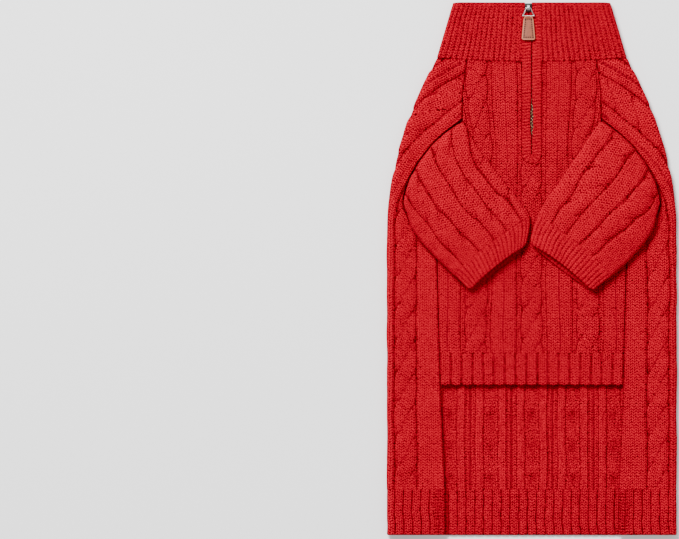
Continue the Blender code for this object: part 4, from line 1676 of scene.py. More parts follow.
# Sleeves.
@dataclass
class Sleeve(ClothPiece):
    """Short sleeve: rises out of its armhole, folds over and lies on the belly."""

    plan: SleevePlan = RIGHT_SLEEVE
    top_columns: int = 128
    under_columns: int = 64
    arc_columns: int = 9
    rows_between: int = 8
    cuff_start: float = 0.752
    half_height: float = 0.0029
    clearance: float = 0.0006
    puff: float = 0.0034
    length: float = 0.092
    stitch_width: float = 0.08
    gauge: float = 1.18
    mean_width: float = 0.076
    lower_fold_y: float = 0.043
    mouth_sag: float = 0.0024
    mouth_corner: float = 0.005
    mouth_width: float = 0.062
    sway: float = 0.0005
    unevenness: float = 0.0003
    knit: CableKnit = field(default_factory=lambda: CableKnit(
        pitch=0.03075, outermost=1, crossing=0.0225, start=0.004, groove=0.0012))

    def stations(self) -> Array:
        """Rows as places on the list of stations."""
        count = len(SLEEVE_STATIONS) - 1
        return np.linspace(0.0, count, count * self.rows_between + 1)

    def station_values(self, places: Array) -> dict[str, Array]:
        """Each station column, read smoothly at places on the list."""
        index = np.arange(len(SLEEVE_STATIONS))
        return {name: curve_through(index, [getattr(s, name) for s in SLEEVE_STATIONS], places)
                for name in ("top_run", "top_rise", "under_run", "under_rise")}

    def edge_curve(self, edges: Sequence[PlanPoint], share: Array) -> Array:
        """Points on one of the sleeve's folded edges.

        Args:
            edges: The edge's known points.
            share: 0 at the armhole to 1 at the mouth.

        Returns:
            The points in plan.
        """
        knots = np.linspace(0.0, 1.0, len(edges))
        x = curve_through(knots, [e.x for e in edges], share)
        return np.stack([x, curve_through(knots, [e.y for e in edges], share)], axis=-1)

    def armhole_arc(self, across: Array) -> Array:
        """Outer arc of the armhole at shares from the shoulder to the lower fold.

        Args:
            across: 0 at the shoulder to 1 at the lower fold.

        Returns:
            The points in plan.
        """
        lay = self.layout
        line = [self.edge_curve(self.plan.upper, np.array(0.0))]
        for row in reversed(FRONT_ROWS):
            if self.lower_fold_y < row.y < lay.armhole_top_y:
                line.append(np.array([row.back_edge, row.y]))
        line.append(self.edge_curve(self.plan.lower, np.array(0.0)))
        line = np.array(line)
        lengths = np.r_[0.0, np.cumsum(np.linalg.norm(np.diff(line, axis=0), axis=1))]
        at = across * lengths[-1]
        return np.stack([np.interp(at, lengths, line[:, k]) for k in (0, 1)], axis=-1)

    def patch(self, across: Array, run: Array) -> Array:
        """Plan points of the sleeve: a patch between armhole, cuff line and folded edges.

        Args:
            across: 0 at the upper fold to 1 at the lower.
            run: 0 at the armhole to 1 at the mouth.

        Returns:
            The points in plan.
        """
        edges = (self.plan.upper, self.plan.lower)
        upper, lower = (self.edge_curve(edge, run) for edge in edges)
        ends = [self.edge_curve(edge, np.array(k)) for k in (0.0, 1.0) for edge in edges]
        a, r = across[..., None], run[..., None]
        cuff_line = mix(ends[2], ends[3], a)
        both = mix(self.armhole_arc(across), cuff_line, r)
        corners = mix(mix(ends[0], ends[1], a), cuff_line, r)
        return both + mix(upper, lower, a) - corners

    def under_start(self, across: Array) -> Array:
        """Where along the sleeve its under layer starts: past the armhole's opening.

        Args:
            across: 0 at the upper fold to 1 at the lower.

        Returns:
            The run at which it starts.
        """
        lay = self.layout
        runs = np.linspace(0.0, self.cuff_start, 201)
        grid = self.patch(across[:, None] + 0 * runs[None], runs[None] + 0 * across[:, None])
        x, y = grid[..., 0], grid[..., 1]
        inside = (y > lay.underarm_y) & (y < lay.armhole_top_y)
        inside &= (x > lay.edge("front_edge", y)) & (x < lay.edge("back_edge", y))
        last = np.where(inside.any(1), inside.shape[1] - 1 - inside[:, ::-1].argmax(1), 0)
        start = runs[last]
        kernel = np.hanning(9) / np.hanning(9).sum()
        return np.convolve(np.pad(start, 4, mode="edge"), kernel, mode="valid")

    def ring(self) -> tuple[Array, Array]:
        """Section of the tube: share across, and height from -1 to 1.

        Returns:
            The share and the height of each column.
        """
        reach = self.half_height / self.mean_width
        angle = math.pi * (0.5 - np.arange(self.arc_columns + 1) / self.arc_columns)
        arc_across, arc_height = reach * (1 - np.cos(angle)), np.sin(angle)
        top = mix(reach, 1 - reach, np.arange(1, self.top_columns) / self.top_columns)
        under = mix(1 - reach, reach, np.arange(1, self.under_columns) / self.under_columns)
        across = np.concatenate([top, 1 - arc_across, under, arc_across[::-1]])
        return across, np.concatenate([1 + 0 * top, arc_height, -1 + 0 * under, arc_height[::-1]])

    def tube(self, values: dict[str, Array], places: Array) -> Surface:
        """Outer face of the sleeve or cuff between stations.

        Args:
            values: Station columns at each row.
            places: Each row's place on the list of stations.

        Returns:
            The surface, with its knit coordinates.
        """
        lay = self.layout
        across, height = self.ring()
        a = across[None] + 0 * places[:, None]
        start = self.under_start(np.clip(across, 0.0, 1.0))[None]
        top_run = values["top_run"][:, None] + 0 * a
        under_run = mix(start, self.cuff_start, values["under_run"][:, None] / self.cuff_start)
        under_run = np.where(values["under_run"][:, None] > self.cuff_start,
                             values["under_run"][:, None], under_run) + 0 * a
        mouth = np.clip((top_run - self.cuff_start) / (1.0 - self.cuff_start), 0.0, 1.0) ** 2
        top_run = top_run - mouth * self._mouth(a, self.mouth_sag)
        under_run = under_run - mouth * self._mouth(a, -0.4 * self.mouth_sag)
        top, under = self.patch(a, top_run), self.patch(a, under_run)
        share = (height[None] + 1) / 2
        base = [lay.front_height(lay.body_half_width(p[..., 1]), p[..., 0]) for p in (top, under)]
        dome = np.clip(4 * a * (1 - a), 0, None) ** 0.8
        puff = self.puff * dome * np.sin(math.pi * (0.25 + 0.62 * top_run))
        full = self.clearance + 2 * self.half_height + puff
        rise, low_rise = values["top_rise"][:, None], values["under_rise"][:, None]
        sunk = lay.wall / abs(SLEEVE_STATIONS[0].top_rise)
        top_z = base[0] + np.where(rise >= 0, full * rise, sunk * rise)
        low_z = base[1] + np.where(low_rise >= 0, self.clearance, lay.wall) * low_rise
        plan = mix(under, top, share[..., None])
        z = mix(low_z, top_z, share)
        plan = self._seated(plan, np.clip(2.0 - places, 0.0, 1.0)[:, None])
        run = mix(under_run, top_run, share)
        points = np.stack([self.plan.side * plan[..., 0], plan[..., 1], z], axis=2)
        surface = Surface(points, self._wale(a, run), -run * self.length, closed=True)
        return surface.turned_up(len(places) // 2, self.top_columns // 2)

    def _mouth(self, across: Array, sag: float) -> Array:
        """How far the mouth draws back from its line: rounded corners, and a sag between them.

        Args:
            across: 0 at the upper fold to 1 at the lower.
            sag: Depth of the sag.

        Returns:
            The distance as a share of the sleeve's length.
        """
        from_side = np.minimum(across, 1 - across) * self.mouth_width
        near = np.clip(from_side / self.mouth_corner, 0.0, 1.0)
        corner = self.mouth_corner * (1.0 - np.sqrt(1.0 - (1.0 - near) ** 2))
        return (corner + sag * np.clip(4 * across * (1 - across), 0, None)) / self.length

    def _seated(self, plan: Array, weight: Array) -> Array:
        """The first rows moved into the armhole's opening, clear of both panels.

        Args:
            plan: Points in plan.
            weight: 1 where a row is fully moved, 0 where it stays.

        Returns:
            The moved points.
        """
        lay = self.layout
        x, y = plan[..., 0], plan[..., 1]
        middle = (lay.underarm_y + lay.armhole_top_y) / 2
        inset = np.where(y > middle, 0.85, 0.92)
        new_y = mix(middle, y, inset)
        low, high = lay.edge("front_edge", y), lay.edge("back_edge", y)
        share = np.clip((x - low) / np.maximum(high - low, lay.gap), 0.0, 1.0)
        inner = lay.edge("front_edge", new_y) + 3 * lay.gap
        outer = lay.edge("back_edge", new_y) - 3 * lay.gap
        moved = np.stack([mix(inner, outer, share), new_y], axis=-1)
        return mix(plan, moved, weight[..., None])

    def _wale(self, across: Array, run: Array) -> Array:
        """Metres across the knit, so that the grooves follow their table on the top layer.

        Args:
            across: 0 at the upper fold to 1 at the lower.
            run: 0 at the armhole to 1 at the mouth.

        Returns:
            The wale at each point.
        """
        knit = self.knit
        half = knit.half_cable + knit.groove / 2
        marks = np.array([-knit.pitch - half, -knit.pitch + half, -half, half,
                          knit.pitch - half, knit.pitch + half, 1.66 * knit.pitch])
        rows = self.plan.grooves
        runs = [row.run for row in rows]
        table = [np.interp(run, runs, [getattr(row, name) for row in rows])
                 for name in ("first", "second", "third", "fourth", "fifth")]
        places = [-0.2 + 0 * run, *table, 1.0 + 0 * run]
        wale = np.zeros_like(run)
        for low, high, step in zip(places, places[1:], np.diff(marks)):
            wale = wale + np.clip((across - low) / (high - low), 0.0, 1.0) * step
        return wale + marks[0]

    def build(self) -> Object:
        """Build and dress the sleeve.

        Returns:
            The sleeve.
        """
        places = self.stations()
        surface = self.tube(self.station_values(places), places)
        seed = 60 + self.plan.side
        x, y = surface.points[..., 0], surface.points[..., 1]
        wale = surface.wale + self.sway * Drift(seed, 0.03).at(x, y)
        relief = self.knit.relief(wale * self.plan.side, surface.course)
        purl = self.knit.purl_relief(wale, surface.course)
        lift = self.unevenness * Drift(seed + 5, 0.022).at(x, y)
        across, height = self.ring()
        lift = np.where(height > 0, lift, -np.abs(lift))
        fade = smoothstep((places[:, None] - 1.5) / 2.0)
        relief = replace(relief, height=relief.height * mix(0.35, 1.0, fade) + lift * fade,
                         stitch=across[None] * self.stitch_width + 0 * wale)
        surface.course = surface.course * self.gauge
        return self.laid(surface, relief, purl, 1 + 0 * wale, 0.001)


@dataclass
class Cuff(Sleeve):
    """Ribbed end of a sleeve, open at its mouth."""

    ribs: RibKnit = field(default_factory=lambda: RibKnit(
        pitch=0.0035, groove=0.001, depth=0.00065))
    rib_width: float = 0.07

    def build(self) -> Object:
        """Build and dress the cuff.

        Returns:
            The cuff.
        """
        runs = spaced(self.cuff_start, 1.0, 0.0125, (0.0018, 0.0055, 0.0105))
        runs = np.concatenate([runs[:1], runs[4:]])
        full = 1 + 0 * runs
        values = {"top_run": runs, "under_run": runs, "top_rise": full, "under_rise": full}
        surface = self.tube(values, 10.0 + runs)
        across, height = self.ring()
        round_share = np.where(height > 0, across, 2.0 - across)
        wale = (round_share * self.rib_width)[None] + 0 * surface.wale
        x, y = surface.points[..., 0], surface.points[..., 1]
        wale = wale + 0.0003 * Drift(70 + self.plan.side, 0.02).at(x, y)
        relief = self.ribs.relief(wale, surface.course)
        begun = smoothstep((runs - self.cuff_start) * self.length / 0.006)[:, None]
        relief = replace(relief, height=relief.height * begun,
                         shade=mix(0.97, relief.shade, begun))
        edge = (1.0 - runs)[:, None] * self.length + 0 * wale
        return self.laid(surface, relief, relief, edge)


def joined(name: str, objects: Sequence[Object], weld: float = 0.0) -> Object:
    """One object from several, welded where their points meet.

    Args:
        name: Name of the result.
        objects: The objects, which are removed.
        weld: Distance within which points become one.

    Returns:
        The joined object.
    """
    bpy.ops.object.select_all(action="DESELECT")
    for obj in objects:
        obj.select_set(True)
    bpy.context.view_layer.objects.active = objects[0]
    bpy.ops.object.join()
    whole = bpy.context.view_layer.objects.active
    if weld:
        bm = bmesh.new()
        bm.from_mesh(whole.data)
        bmesh.ops.remove_doubles(bm, verts=bm.verts, dist=weld)
        bm.to_mesh(whole.data)
        bm.free()
    whole.name = name
    whole.data.name = name
    return whole


# Zip.
@dataclass(frozen=True)
class ZipLine:
    """The zip's line: how it leans at the collar and how its slit opens."""

    lean: float = -0.0026
    lean_start_y: float = 0.169
    slit: float = 0.0006
    notch: float = 0.0032
    notch_depth: float = 0.0075
    closing: float = 0.0004
    gape: float = 0.00078
    gape_y: float = 0.1125

    def x(self, lay: Layout, y: Array) -> Array:
        """Centre of the zip at y."""
        rise = (y - self.lean_start_y) / (lay.collar_top_y - self.lean_start_y)
        return self.lean * smoothstep(rise)

    def slit_half_width(self, lay: Layout, y: Array) -> Array:
        """Half the slit at y: a hair open, wider over the teeth that show and at the notch.

        Args:
            lay: The garment's layout.
            y: Rows.

        Returns:
            Half the width at each row.
        """
        share = np.clip((y - lay.collar_top_y + self.notch_depth) / self.notch_depth, 0.0, 1.0)
        gape = self.gape * np.exp(-(((y - self.gape_y) / 0.011) ** 4))
        return mix(self.slit, self.notch, share ** 1.5) + gape - self.closing


@dataclass
class ZipBand(ClothPiece):
    """Knit band down one side of the slit, round its foot and up the other."""

    line: ZipLine = field(default_factory=ZipLine)
    stripe: StripeKnit = field(default_factory=StripeKnit)
    columns: int = 14

    def build(self, with_pieces: Sequence = ()) -> Object:
        """Build and dress the band.

        Args:
            with_pieces: Pieces of the zip that sit on the band.

        Returns:
            The band.
        """
        lay, half = self.layout, self.layout.band_half_width
        ys = spaced(lay.slit_end_y, lay.collar_top_y, 0.00065, (0.0003, 0.0008))
        across = np.concatenate([[0.0, 0.05, 0.11], np.linspace(0.18, 0.84, self.columns - 6),
                                 [0.91, 0.96, 1.0]])
        centre, slit = self.line.x(lay, ys), self.line.slit_half_width(lay, ys)
        wobble = 0.00018 * np.sin(ys * 900.0) * smoothstep((0.185 - ys) / 0.01)
        left = mix((centre - slit + wobble)[:, None], -half, across[None])[::-1]
        right = mix((centre + slit + wobble)[:, None], half, across[None])
        turn = math.pi * (1 + np.arange(1, 20) / 20)[:, None]
        radius = mix(self.line.slit - self.line.closing, half, across[None])
        x = np.concatenate([left, radius * np.cos(turn), right])
        y = np.concatenate([ys[::-1, None] + 0 * left, lay.slit_end_y + radius * np.sin(turn),
                            ys[:, None] + 0 * right])
        z = lay.front_height(lay.body_half_width(y), x) + 0 * x
        column = x.shape[1] // 2
        steps = np.r_[0.0, np.cumsum(np.hypot(np.diff(x[:, column]), np.diff(y[:, column])))]
        surface = Surface(np.stack([x, y, z], axis=2), across[None] * half + 0 * x,
                          steps[:, None] + 0 * x).turned_up(3, 3)
        relief = self.stripe.relief(surface.wale, surface.course)
        dome = -0.00025 * (2 * across[None] - 1) ** 4 + 0.00012 * Drift(81, 0.012).at(x, y)
        # Painted shade: the band darkens over its outer tenth, at its seam with the panel.
        relief = relief.changed(dome, 1 - 0.2 * smoothstep((across[None] - 0.9) / 0.1))
        from_end = np.minimum(steps, steps[-1] - steps)[:, None]
        reach = half - 0.0004
        sides = np.minimum(across * reach, SEAM_ROUNDING + (1 - across) * reach)
        edge = np.minimum(sides[None], from_end)
        return self.laid(surface, relief, relief, edge, 0.0009, with_pieces=with_pieces)


@dataclass
class ZipTape:
    """Woven tape under one side of the band, with its corded edge."""

    layout: Layout
    side: int
    name: str
    material: Material
    line: ZipLine = field(default_factory=ZipLine)
    width: float = 0.008
    wall: float = 0.001

    def build(self) -> Object:
        """Build and dress the tape.

        Returns:
            The tape.
        """
        lay = self.layout
        low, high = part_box(self.name)
        ys = spaced(low.y, high.y, 0.0022)
        across = np.array([0.0, 0.03, 0.08, 0.16, 0.24, 0.3, 0.45, 0.6, 0.75, 0.9, 0.97, 1.0])
        inner = self.line.x(lay, ys)[:, None] + self.side * (lay.gap / 2)
        x = inner + self.side * self.width * across[None]
        y = ys[:, None] + 0 * x
        z = high.z + 0 * x
        cord = 0.00022 * np.exp(-(((across - 0.13) / 0.08) ** 2))[None] + 0 * x
        surface = Surface(np.stack([x, y, z], axis=2), x, y).turned_up(2, 2)
        flat = Relief(0 * x, 1 + 0 * x, x, marked(x, 0.0))
        relief = replace(flat, height=cord - 0.0003)
        obj = build_shell(self.name + "_weave", surface, relief, flat, 1 + 0 * x, self.wall, 0.0002)
        return dressed(obj, self.material, "sweater", self.name)


@dataclass
class ZipTeeth:
    """Interlocked metal teeth down the slit, one mesh from a row of shaped teeth."""

    layout: Layout
    material: Material
    line: ZipLine = field(default_factory=ZipLine)
    pitch: float = 0.0026
    height: float = 0.001
    reach: float = 0.0009

    def _tooth(self, bm: Mesh, y: float, side: int, base: float) -> None:
        """Add one tooth: a jaw on the tape and a rounded head across the middle.

        Args:
            bm: The mesh to add to.
            y: Where it sits along the zip.
            side: -1 for the left tape, 1 for the right.
            base: Height of its foot.
        """
        x = float(self.line.x(self.layout, np.array(y)))
        for centre, size in ((side * 0.0011, (0.0007, 0.00125, self.height)),
                             (side * 0.00042, (self.reach, 0.00088, self.height * 0.82))):
            box_mesh(bm, size, (x + centre, y, base + self.height / 2), 0.00013, chamfered=True)

    def build(self) -> Object:
        """Build and dress the row of teeth.

        Returns:
            The row of teeth.
        """
        bm = bmesh.new()
        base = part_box("zip_tape_left")[1].z - 0.00025
        start, end = self.layout.slit_end_y + 0.0006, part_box("zip_slider")[0].y - 0.0005
        for k in range(int((end - start) / self.pitch)):
            for side in (-1, 1):
                shift = self.pitch / 2 if side > 0 else 0.0
                self._tooth(bm, start + k * self.pitch + shift, side, base)
        return dressed(object_from("zip_teeth", bm), self.material, "sweater")


def box_mesh(bm: Mesh, size: tuple, centre: Sequence[float], bevel: float,
             taper: float = 1.0, chamfered: bool = False) -> None:
    """Add a box with rounded edges, narrowed towards -Y.

    Args:
        bm: The mesh to add to.
        size: Full sizes along x, y and z.
        centre: Its middle.
        bevel: Radius of its edges.
        taper: Width of the -Y end as a share of the +Y end.
        chamfered: Whether its edges are cut flatter, in two steps.
    """
    made = bmesh.ops.create_cube(bm, size=1.0)["verts"]
    for vert in made:
        if vert.co.y < 0:
            vert.co.x *= taper
    bmesh.ops.scale(bm, vec=size, verts=made)
    bmesh.ops.translate(bm, vec=centre, verts=made)
    edges = list({edge for vert in made for edge in vert.link_edges})
    bmesh.ops.bevel(bm, geom=edges, offset=bevel, segments=2 if chamfered else 3,
                    profile=0.0 if chamfered else 0.5, affect="EDGES")


def swept(bm: Mesh, line: Array, radius: Any, sides: int = 12,
          closed: bool = False) -> None:
    """Add a round bar along a line that lies in a plane of constant x or z.

    Args:
        bm: The mesh to add to.
        line: Points along the bar.
        radius: One radius, or one for each point.
        sides: Points round the bar.
        closed: Whether the bar meets itself.
    """
    line = np.asarray(line, float)
    radii = np.broadcast_to(np.asarray(radius, float), (len(line),))
    if closed:
        along = np.roll(line, -1, axis=0) - np.roll(line, 1, axis=0)
    else:
        along = np.gradient(line, axis=0)
    along /= np.linalg.norm(along, axis=1, keepdims=True)
    up = np.array([0.0, 0.0, 1.0]) if np.ptp(line[:, 2]) < 1e-9 else np.array([1.0, 0.0, 0.0])
    across = np.cross(along, up)
    across /= np.linalg.norm(across, axis=1, keepdims=True)
    rings = []
    for point, side, reach in zip(line, across, radii):
        angles = 2 * math.pi * np.arange(sides) / sides
        ring = point + reach * (np.cos(angles)[:, None] * side + np.sin(angles)[:, None] * up)
        rings.append([bm.verts.new(p) for p in ring])
    pairs = list(zip(rings, rings[1:] + rings[:1])) if closed else list(zip(rings, rings[1:]))
    for near, far in pairs:
        for i in range(sides):
            j = (i + 1) % sides
            bm.faces.new((near[i], near[j], far[j], far[i]))
    if not closed:
        bm.faces.new(reversed(rings[0]))
        bm.faces.new(rings[-1])


@dataclass
class Slider:
    """Zip slider: two plates painted near-black as shade round the bright bridge, a neck between
    them, and the bridge for the ring.
    """

    layout: Layout
    plates: Material
    bright: Material
    hinge: Vector
    plate: float = 0.0008

    def build(self) -> list[Object]:
        """Build and dress the slider's body and its bridge.

        Returns:
            The body and the bridge.
        """
        low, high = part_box("zip_slider")
        x, y = (low.x + high.x) / 2, self.hinge.y
        top = self.layout.front_top + self.layout.gap
        width = high.x - low.x
        bm = bmesh.new()
        box_mesh(bm, (width, 0.006, self.plate), (x, y, top + self.plate / 2), 0.00035, 0.72)
        under = low.z + self.plate / 2
        box_mesh(bm, (width, 0.0056, self.plate), (x, y + 0.0006, under), 0.00035, 0.72)
        middle = (top + low.z + self.plate) / 2
        box_mesh(bm, (0.0012, 0.002, top - low.z), (x, y + 0.0018, middle), 0.0002)
        for side in (-1, 1):
            rail = (x + side * (width / 2 - 0.0002), y + 0.0002, top - 0.00022)
            box_mesh(bm, (0.0004, 0.0048, 0.0007), rail, 0.00012)
        bmesh.ops.recalc_face_normals(bm, faces=bm.faces)
        body = object_from("slider_body", bm)
        bm = bmesh.new()
        angles = np.radians(np.linspace(205, -25, 25))
        arch = np.stack([0 * angles + x, y + 0.0017 * np.cos(angles),
                         self.hinge.z + 0.00125 * np.sin(angles)], axis=1)
        for shift in (-0.00062, 0.0, 0.00062):
            swept(bm, arch + [shift, 0, 0], 0.00046, 10)
        bmesh.ops.recalc_face_normals(bm, faces=bm.faces)
        bridge = object_from("slider_bridge", bm)
        return [dressed(body, self.plates, "sweater", "zip_slider"),
                dressed(bridge, self.bright, "sweater")]


@dataclass
class PullRing:
    """Wire ring: a short bar through the bridge, splayed legs and a crossbar with ball ends."""

    material: Material
    hinge: Vector
    wire: float = 0.0004
    top_width: float = 0.003
    width: float = 0.0082
    length: float = 0.006

    def outline(self) -> Array:
        """Smooth closed line of the wire round the hinge.

        Returns:
            Points in order.
        """
        top, wide, corner = self.top_width / 2, self.width / 2, 0.0008
        corners = [(-top, 0.0), (top, 0.0), (wide, -self.length), (-wide, -self.length)]
        points = []
        for k, here in enumerate(corners):
            before, after = corners[k - 1], corners[(k + 1) % 4]
            here = np.array(here)
            start = here + corner * self._unit(np.array(before) - here)
            end = here + corner * self._unit(np.array(after) - here)
            for share in np.linspace(0.0, 1.0, 7):
                points.append(mix(mix(start, here, share), mix(here, end, share), share))
        plan = np.array(points)
        line = np.zeros((len(plan), 3))
        line[:, :2] = plan + np.array([self.hinge.x, self.hinge.y])
        line[:, 2] = self.hinge.z
        return line

    @staticmethod
    def _unit(vector: Array) -> Array:
        """The vector with length 1."""
        return vector / np.linalg.norm(vector)

    def build(self) -> Object:
        """Build and dress the ring.

        Returns:
            The ring.
        """
        bm = bmesh.new()
        swept(bm, self.outline(), self.wire, 12, closed=True)
        for side in (-1, 1):
            ball = bmesh.ops.create_uvsphere(bm, u_segments=16, v_segments=10, radius=0.0008)
            centre = (self.hinge.x + side * (self.width / 2 - 0.0001),
                      self.hinge.y - self.length + 0.0001, self.hinge.z)
            bmesh.ops.translate(bm, vec=centre, verts=ball["verts"])
        bmesh.ops.recalc_face_normals(bm, faces=bm.faces)
        wire = object_from("ring_wire", bm)
        return dressed(wire, self.material, "ring", "pull_ring")


@dataclass
class PullTab:
    """Leather tab folded round the ring's crossbar, with a sewn border."""

    leather: Material
    thread: Material
    bar: Vector
    top_width: float = 0.0054
    shoulder_width: float = 0.0076
    width: float = 0.0104
    length: float = 0.018
    thickness: float = 0.0019
    shoulder: float = 0.0028
    corner: float = 0.0014
    loop: float = 0.00135
    drop: float = 0.00035

    def half_width_at(self, y: Array) -> Array:
        """Half the tab's width at a distance below the bar.

        Args:
            y: Metres below the bar.

        Returns:
            Half the width.
        """
        near = np.interp(y, [0.0, self.shoulder], [self.top_width / 2, self.shoulder_width / 2])
        far = np.interp(y, [self.shoulder, self.length], [self.shoulder_width / 2, self.width / 2])
        inside = np.clip(y - self.length + self.corner, 0.0, self.corner)
        cut = self.corner - np.sqrt(np.maximum(self.corner ** 2 - inside ** 2, 0.0))
        return np.where(y < self.shoulder, near, far) - cut

    def build(self) -> list[Object]:
        """Build and dress the tab, then its stitches."""
        return [dressed(self._body(), self.leather, "tab", "pull_tab"),
                dressed(self._stitches(), self.thread, "tab")]

    def _body(self) -> Object:
        """The folded strip as a loft of rounded sections down its length.

        Returns:
            The tab's leather.
        """
        ends = np.linspace(0, 1, 9)
        ys = np.concatenate([np.linspace(0.0, self.length - self.corner, 40),
                             self.length - self.corner * (1 - np.sin(ends[1:] * math.pi / 2))])
        half = self.half_width_at(np.minimum(ys, self.length - 1e-6))
        around = 40
        angle = 2 * math.pi * np.arange(around) / around
        flat = np.sign(np.cos(angle)) * np.abs(np.cos(angle)) ** 0.22
        tall = np.sign(np.sin(angle)) * np.abs(np.sin(angle)) ** 0.42
        bm = bmesh.new()
        layer = bm.verts.layers.float.new("shade")
        rings = []
        for y, reach in zip(ys, half):
            fade = smoothstep((y - 0.0006) / 0.0026)
            high = mix(self.loop, self.thickness / 2, fade)
            centre = self.bar + Vector((0.0, -float(y), -float(self.drop * fade)))
            ring = []
            for u, v in zip(flat, tall):
                groove = 0.0001 * math.exp(-(((abs(u) * reach - reach + 0.0012) / 0.0003) ** 2))
                puff = 1.0 + 0.1 * (1 - u * u)
                vert = bm.verts.new(centre + Vector((float(u * reach), 0.0, float(
                    v * (high * puff) - math.copysign(groove, v) * (abs(v) > 0.6)))))
                border = max(abs(u) * reach - reach + 0.0011, y - self.length + 0.0011) / 0.0006
                vert[layer] = float(np.clip(border, 0.0, 1.0)) * 0.75
                ring.append(vert)
            rings.append(ring)
        for near, far in zip(rings, rings[1:]):
            for i in range(around):
                j = (i + 1) % around
                bm.faces.new((near[i], far[i], far[j], near[j]))
        for ring, turned in ((rings[0], False), (rings[-1], True)):
            bm.faces.new(reversed(ring) if turned else ring)
        bmesh.ops.recalc_face_normals(bm, faces=bm.faces)
        return object_from("tab_leather", bm)

    def _stitches(self) -> Object:
        """Short dark stitches in a row round the border, on both faces.

        Returns:
            The stitches as one mesh.
        """
        bm = bmesh.new()
        inset, step = 0.0016, 0.0016
        path = []
        for y in np.arange(0.0032, self.length - 0.0018, step):
            for side in (-1, 1):
                path.append((side * (float(self.half_width_at(y)) - inset), y, 0.0, 1.0))
        wide = float(self.half_width_at(self.length - 0.0018)) - inset
        for x in np.arange(-wide + step, wide - step * 0.5, step):
            path.append((x, self.length - 0.0019, 1.0, 0.0))
        top = float(self.half_width_at(0.0026)) - inset
        for x in np.linspace(-top, top, 4):
            path.append((x, 0.0024, 1.0, 0.0))
        puff = self.thickness / 2 * 1.075
        for x, y, dx, dy in path:
            size = (0.0009 - 0.0001 * dx, 0.0009 - 0.0001 * dy, 0.00048)
            for face in (-1, 1):
                centre = self.bar + Vector((x, -y, -self.drop + face * puff))
                box_mesh(bm, size, centre, 0.00008, chamfered=True)
        return object_from("tab_stitches", bm)


# Studio.
@dataclass(frozen=True)
class Studio:
    """Plain pale floor, soft light from the upper left and a camera that looks straight down."""

    view_width: float = 0.5093
    centre_x: float = -0.1442
    centre_y: float = -0.0008

    def build(self) -> None:
        """Make the floor, lights and camera."""
        self._floor()
        self._lamp("key", (-0.74, 1.4, 1.85), 0.95, 146.0)
        self._lamp("fill", (0.6, -0.8, 1.2), 1.4, 6.0)
        world = bpy.data.worlds.new("studio")
        bpy.context.scene.world = world
        world.use_nodes = True
        world.node_tree.nodes["Background"].inputs[0].default_value = (1.0, 1.0, 1.0, 1.0)
        world.node_tree.nodes["Background"].inputs[1].default_value = 0.6
        camera = bpy.data.cameras.new("camera")
        camera.type = "ORTHO"
        camera.ortho_scale = self.view_width
        bpy.context.scene.camera = in_scene("camera", camera)
        bpy.context.scene.camera.location = (self.centre_x, self.centre_y, 1.5)

    @staticmethod
    def _floor() -> None:
        """A pale board under the garment."""
        bm = bmesh.new()
        bmesh.ops.create_grid(bm, x_segments=2, y_segments=2, size=3.0)
        bmesh.ops.translate(bm, vec=(0.0, 0.0, -0.0002), verts=bm.verts)
        floor = object_from("floor", bm)
        paint = PlainFinish("floor_paint", (0.96, 0.96, 0.96), 0.9, 3.0)
        floor.data.materials.append(paint.material())

    @staticmethod
    def _lamp(name: str, place: tuple, size: float, power: float) -> None:
        """A square soft light aimed at the garment.

        Args:
            name: Name of the lamp.
            place: Where it stands.
            size: Its side in metres.
            power: Its power in watts.
        """
        data = bpy.data.lights.new(name, "AREA")
        data.size = size
        data.energy = power
        lamp = in_scene(name, data)
        lamp.location = place
        lamp.rotation_euler = (-Vector(place)).to_track_quat("-Z", "Y").to_euler()


class Hardware(Enum):
    """Joints whose anchors place the pull."""

    RING = "ring_swing"
    TAB = "tab_swing"

    def anchor(self) -> Vector:
        """The joint's point at rest."""
        found = [joint for joint in frame["joints"] if joint["name"] == self.value]
        return Vector(found[0]["pos_m"])


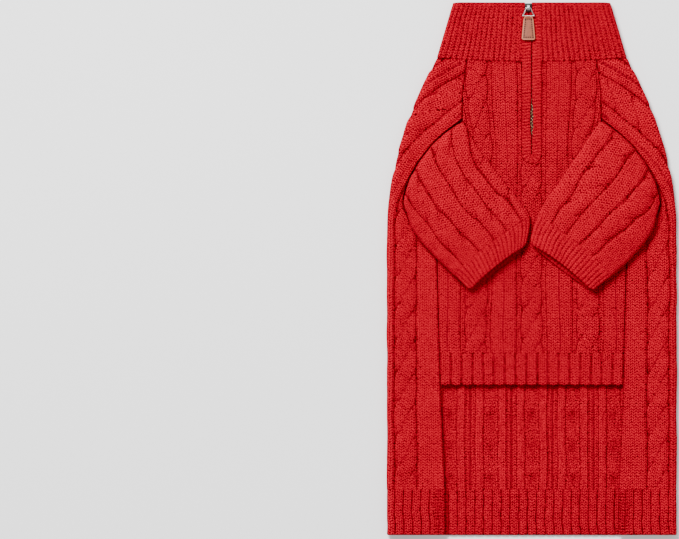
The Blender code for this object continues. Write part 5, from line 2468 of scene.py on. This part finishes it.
def main() -> None:
    """Build the sweater piece by piece, then the studio."""
    logging.basicConfig(level=logging.INFO, format="%(name)s: %(message)s")
    lay = Layout.from_frame()
    # Each finish's lines are its painted shade lines: pitch, places, width and how dark.
    cable_lines = ShadeLines(0.03075, (0.0085,), 0.0007, 0.86)
    cable = KnitFinish("cable_yarn", cable_lines, contrast=0.9).material()
    # The same yarn as the body, as a shaded copy: its crown is painted a little darker on the
    # sleeves.
    sleeved = KnitFinish("sleeve_yarn", cable_lines, (0.49, 0.0001, 0.0147),
                         contrast=0.8).material()
    belly = KnitFinish("belly_yarn", ShadeLines(0.042, (0.0083, 0.0117), 0.00055, 0.66)).material()
    fine = KnitFinish("collar_yarn", ShadeLines(0.004, width=0.0006, dark=0.62)).material()
    cuffed = KnitFinish("cuff_yarn", ShadeLines(0.0035, width=0.00058, dark=0.45),
                        contrast=0.6).material()
    wide = KnitFinish("hem_yarn", ShadeLines(0.00656, width=0.0008, dark=0.92)).material()
    widest = KnitFinish("belly_hem_yarn", ShadeLines(0.0081, width=0.0008, dark=0.92)).material()
    band = KnitFinish("band_yarn", ShadeLines(1.0), contrast=0.5).material()
    tape = TapeFinish("tape_weave").material()
    brass = MetalFinish("teeth_brass", (0.8, 0.56, 0.32), (0.25, 0.14, 0.07), 0.35).material()
    steel = MetalFinish("slider_steel", (0.62, 0.62, 0.62), (0.3, 0.29, 0.28), 0.28).material()
    # Near-black metal of the slider's plates: painted shade, the dark outline round the bright
    # bridge.
    dark = MetalFinish("slider_dark", (0.03, 0.028, 0.027), (0.012, 0.011, 0.01), 0.5).material()
    chrome = MetalFinish("ring_chrome", (0.66, 0.64, 0.62), (0.4, 0.37, 0.34), 0.24).material()
    BackPanel(lay, "knit_back_panel", "cable_knit", cable).build()
    BackHemRib(lay, "knit_back_hem_rib", "rib_knit", wide).build()
    FrontPanel(lay, "knit_front_panel", "cable_knit", belly, ("knit_back_panel",)).build()
    FrontHemRib(lay, "knit_front_hem_rib", "rib_knit", widest, ("knit_back_panel",)).build()
    Collar(lay, "knit_collar", "rib_knit", fine).build()
    for word, plan in (("left", LEFT_SLEEVE), ("right", RIGHT_SLEEVE)):
        under = ("knit_front_panel", "knit_back_panel")
        Sleeve(lay, f"knit_sleeve_{word}", "cable_knit", sleeved, under, "folded", plan).build()
        Cuff(lay, f"knit_cuff_{word}", "rib_knit", cuffed, under, "folded", plan).build()
    tapes = [ZipTape(lay, side, f"zip_tape_{word}", tape).build()
             for word, side in (("left", -1), ("right", 1))]
    teeth = ZipTeeth(lay, brass).build()
    ring_at, bar_at = Hardware.RING.anchor(), Hardware.TAB.anchor()
    slider = Slider(lay, dark, steel, ring_at).build()
    PullRing(chrome, ring_at).build()
    PullTab(LeatherFinish("tab_hide").material(),
            PlainFinish("tab_thread", (0.012, 0.006, 0.005)).material(), bar_at).build()
    ZipBand(lay, "knit_zip_band", "band_knit", band, ("knit_front_panel",)).build(
        [*tapes, teeth, *slider])
    Studio().build()
    bpy.context.view_layer.update()


if __name__ == "__main__":
    main()
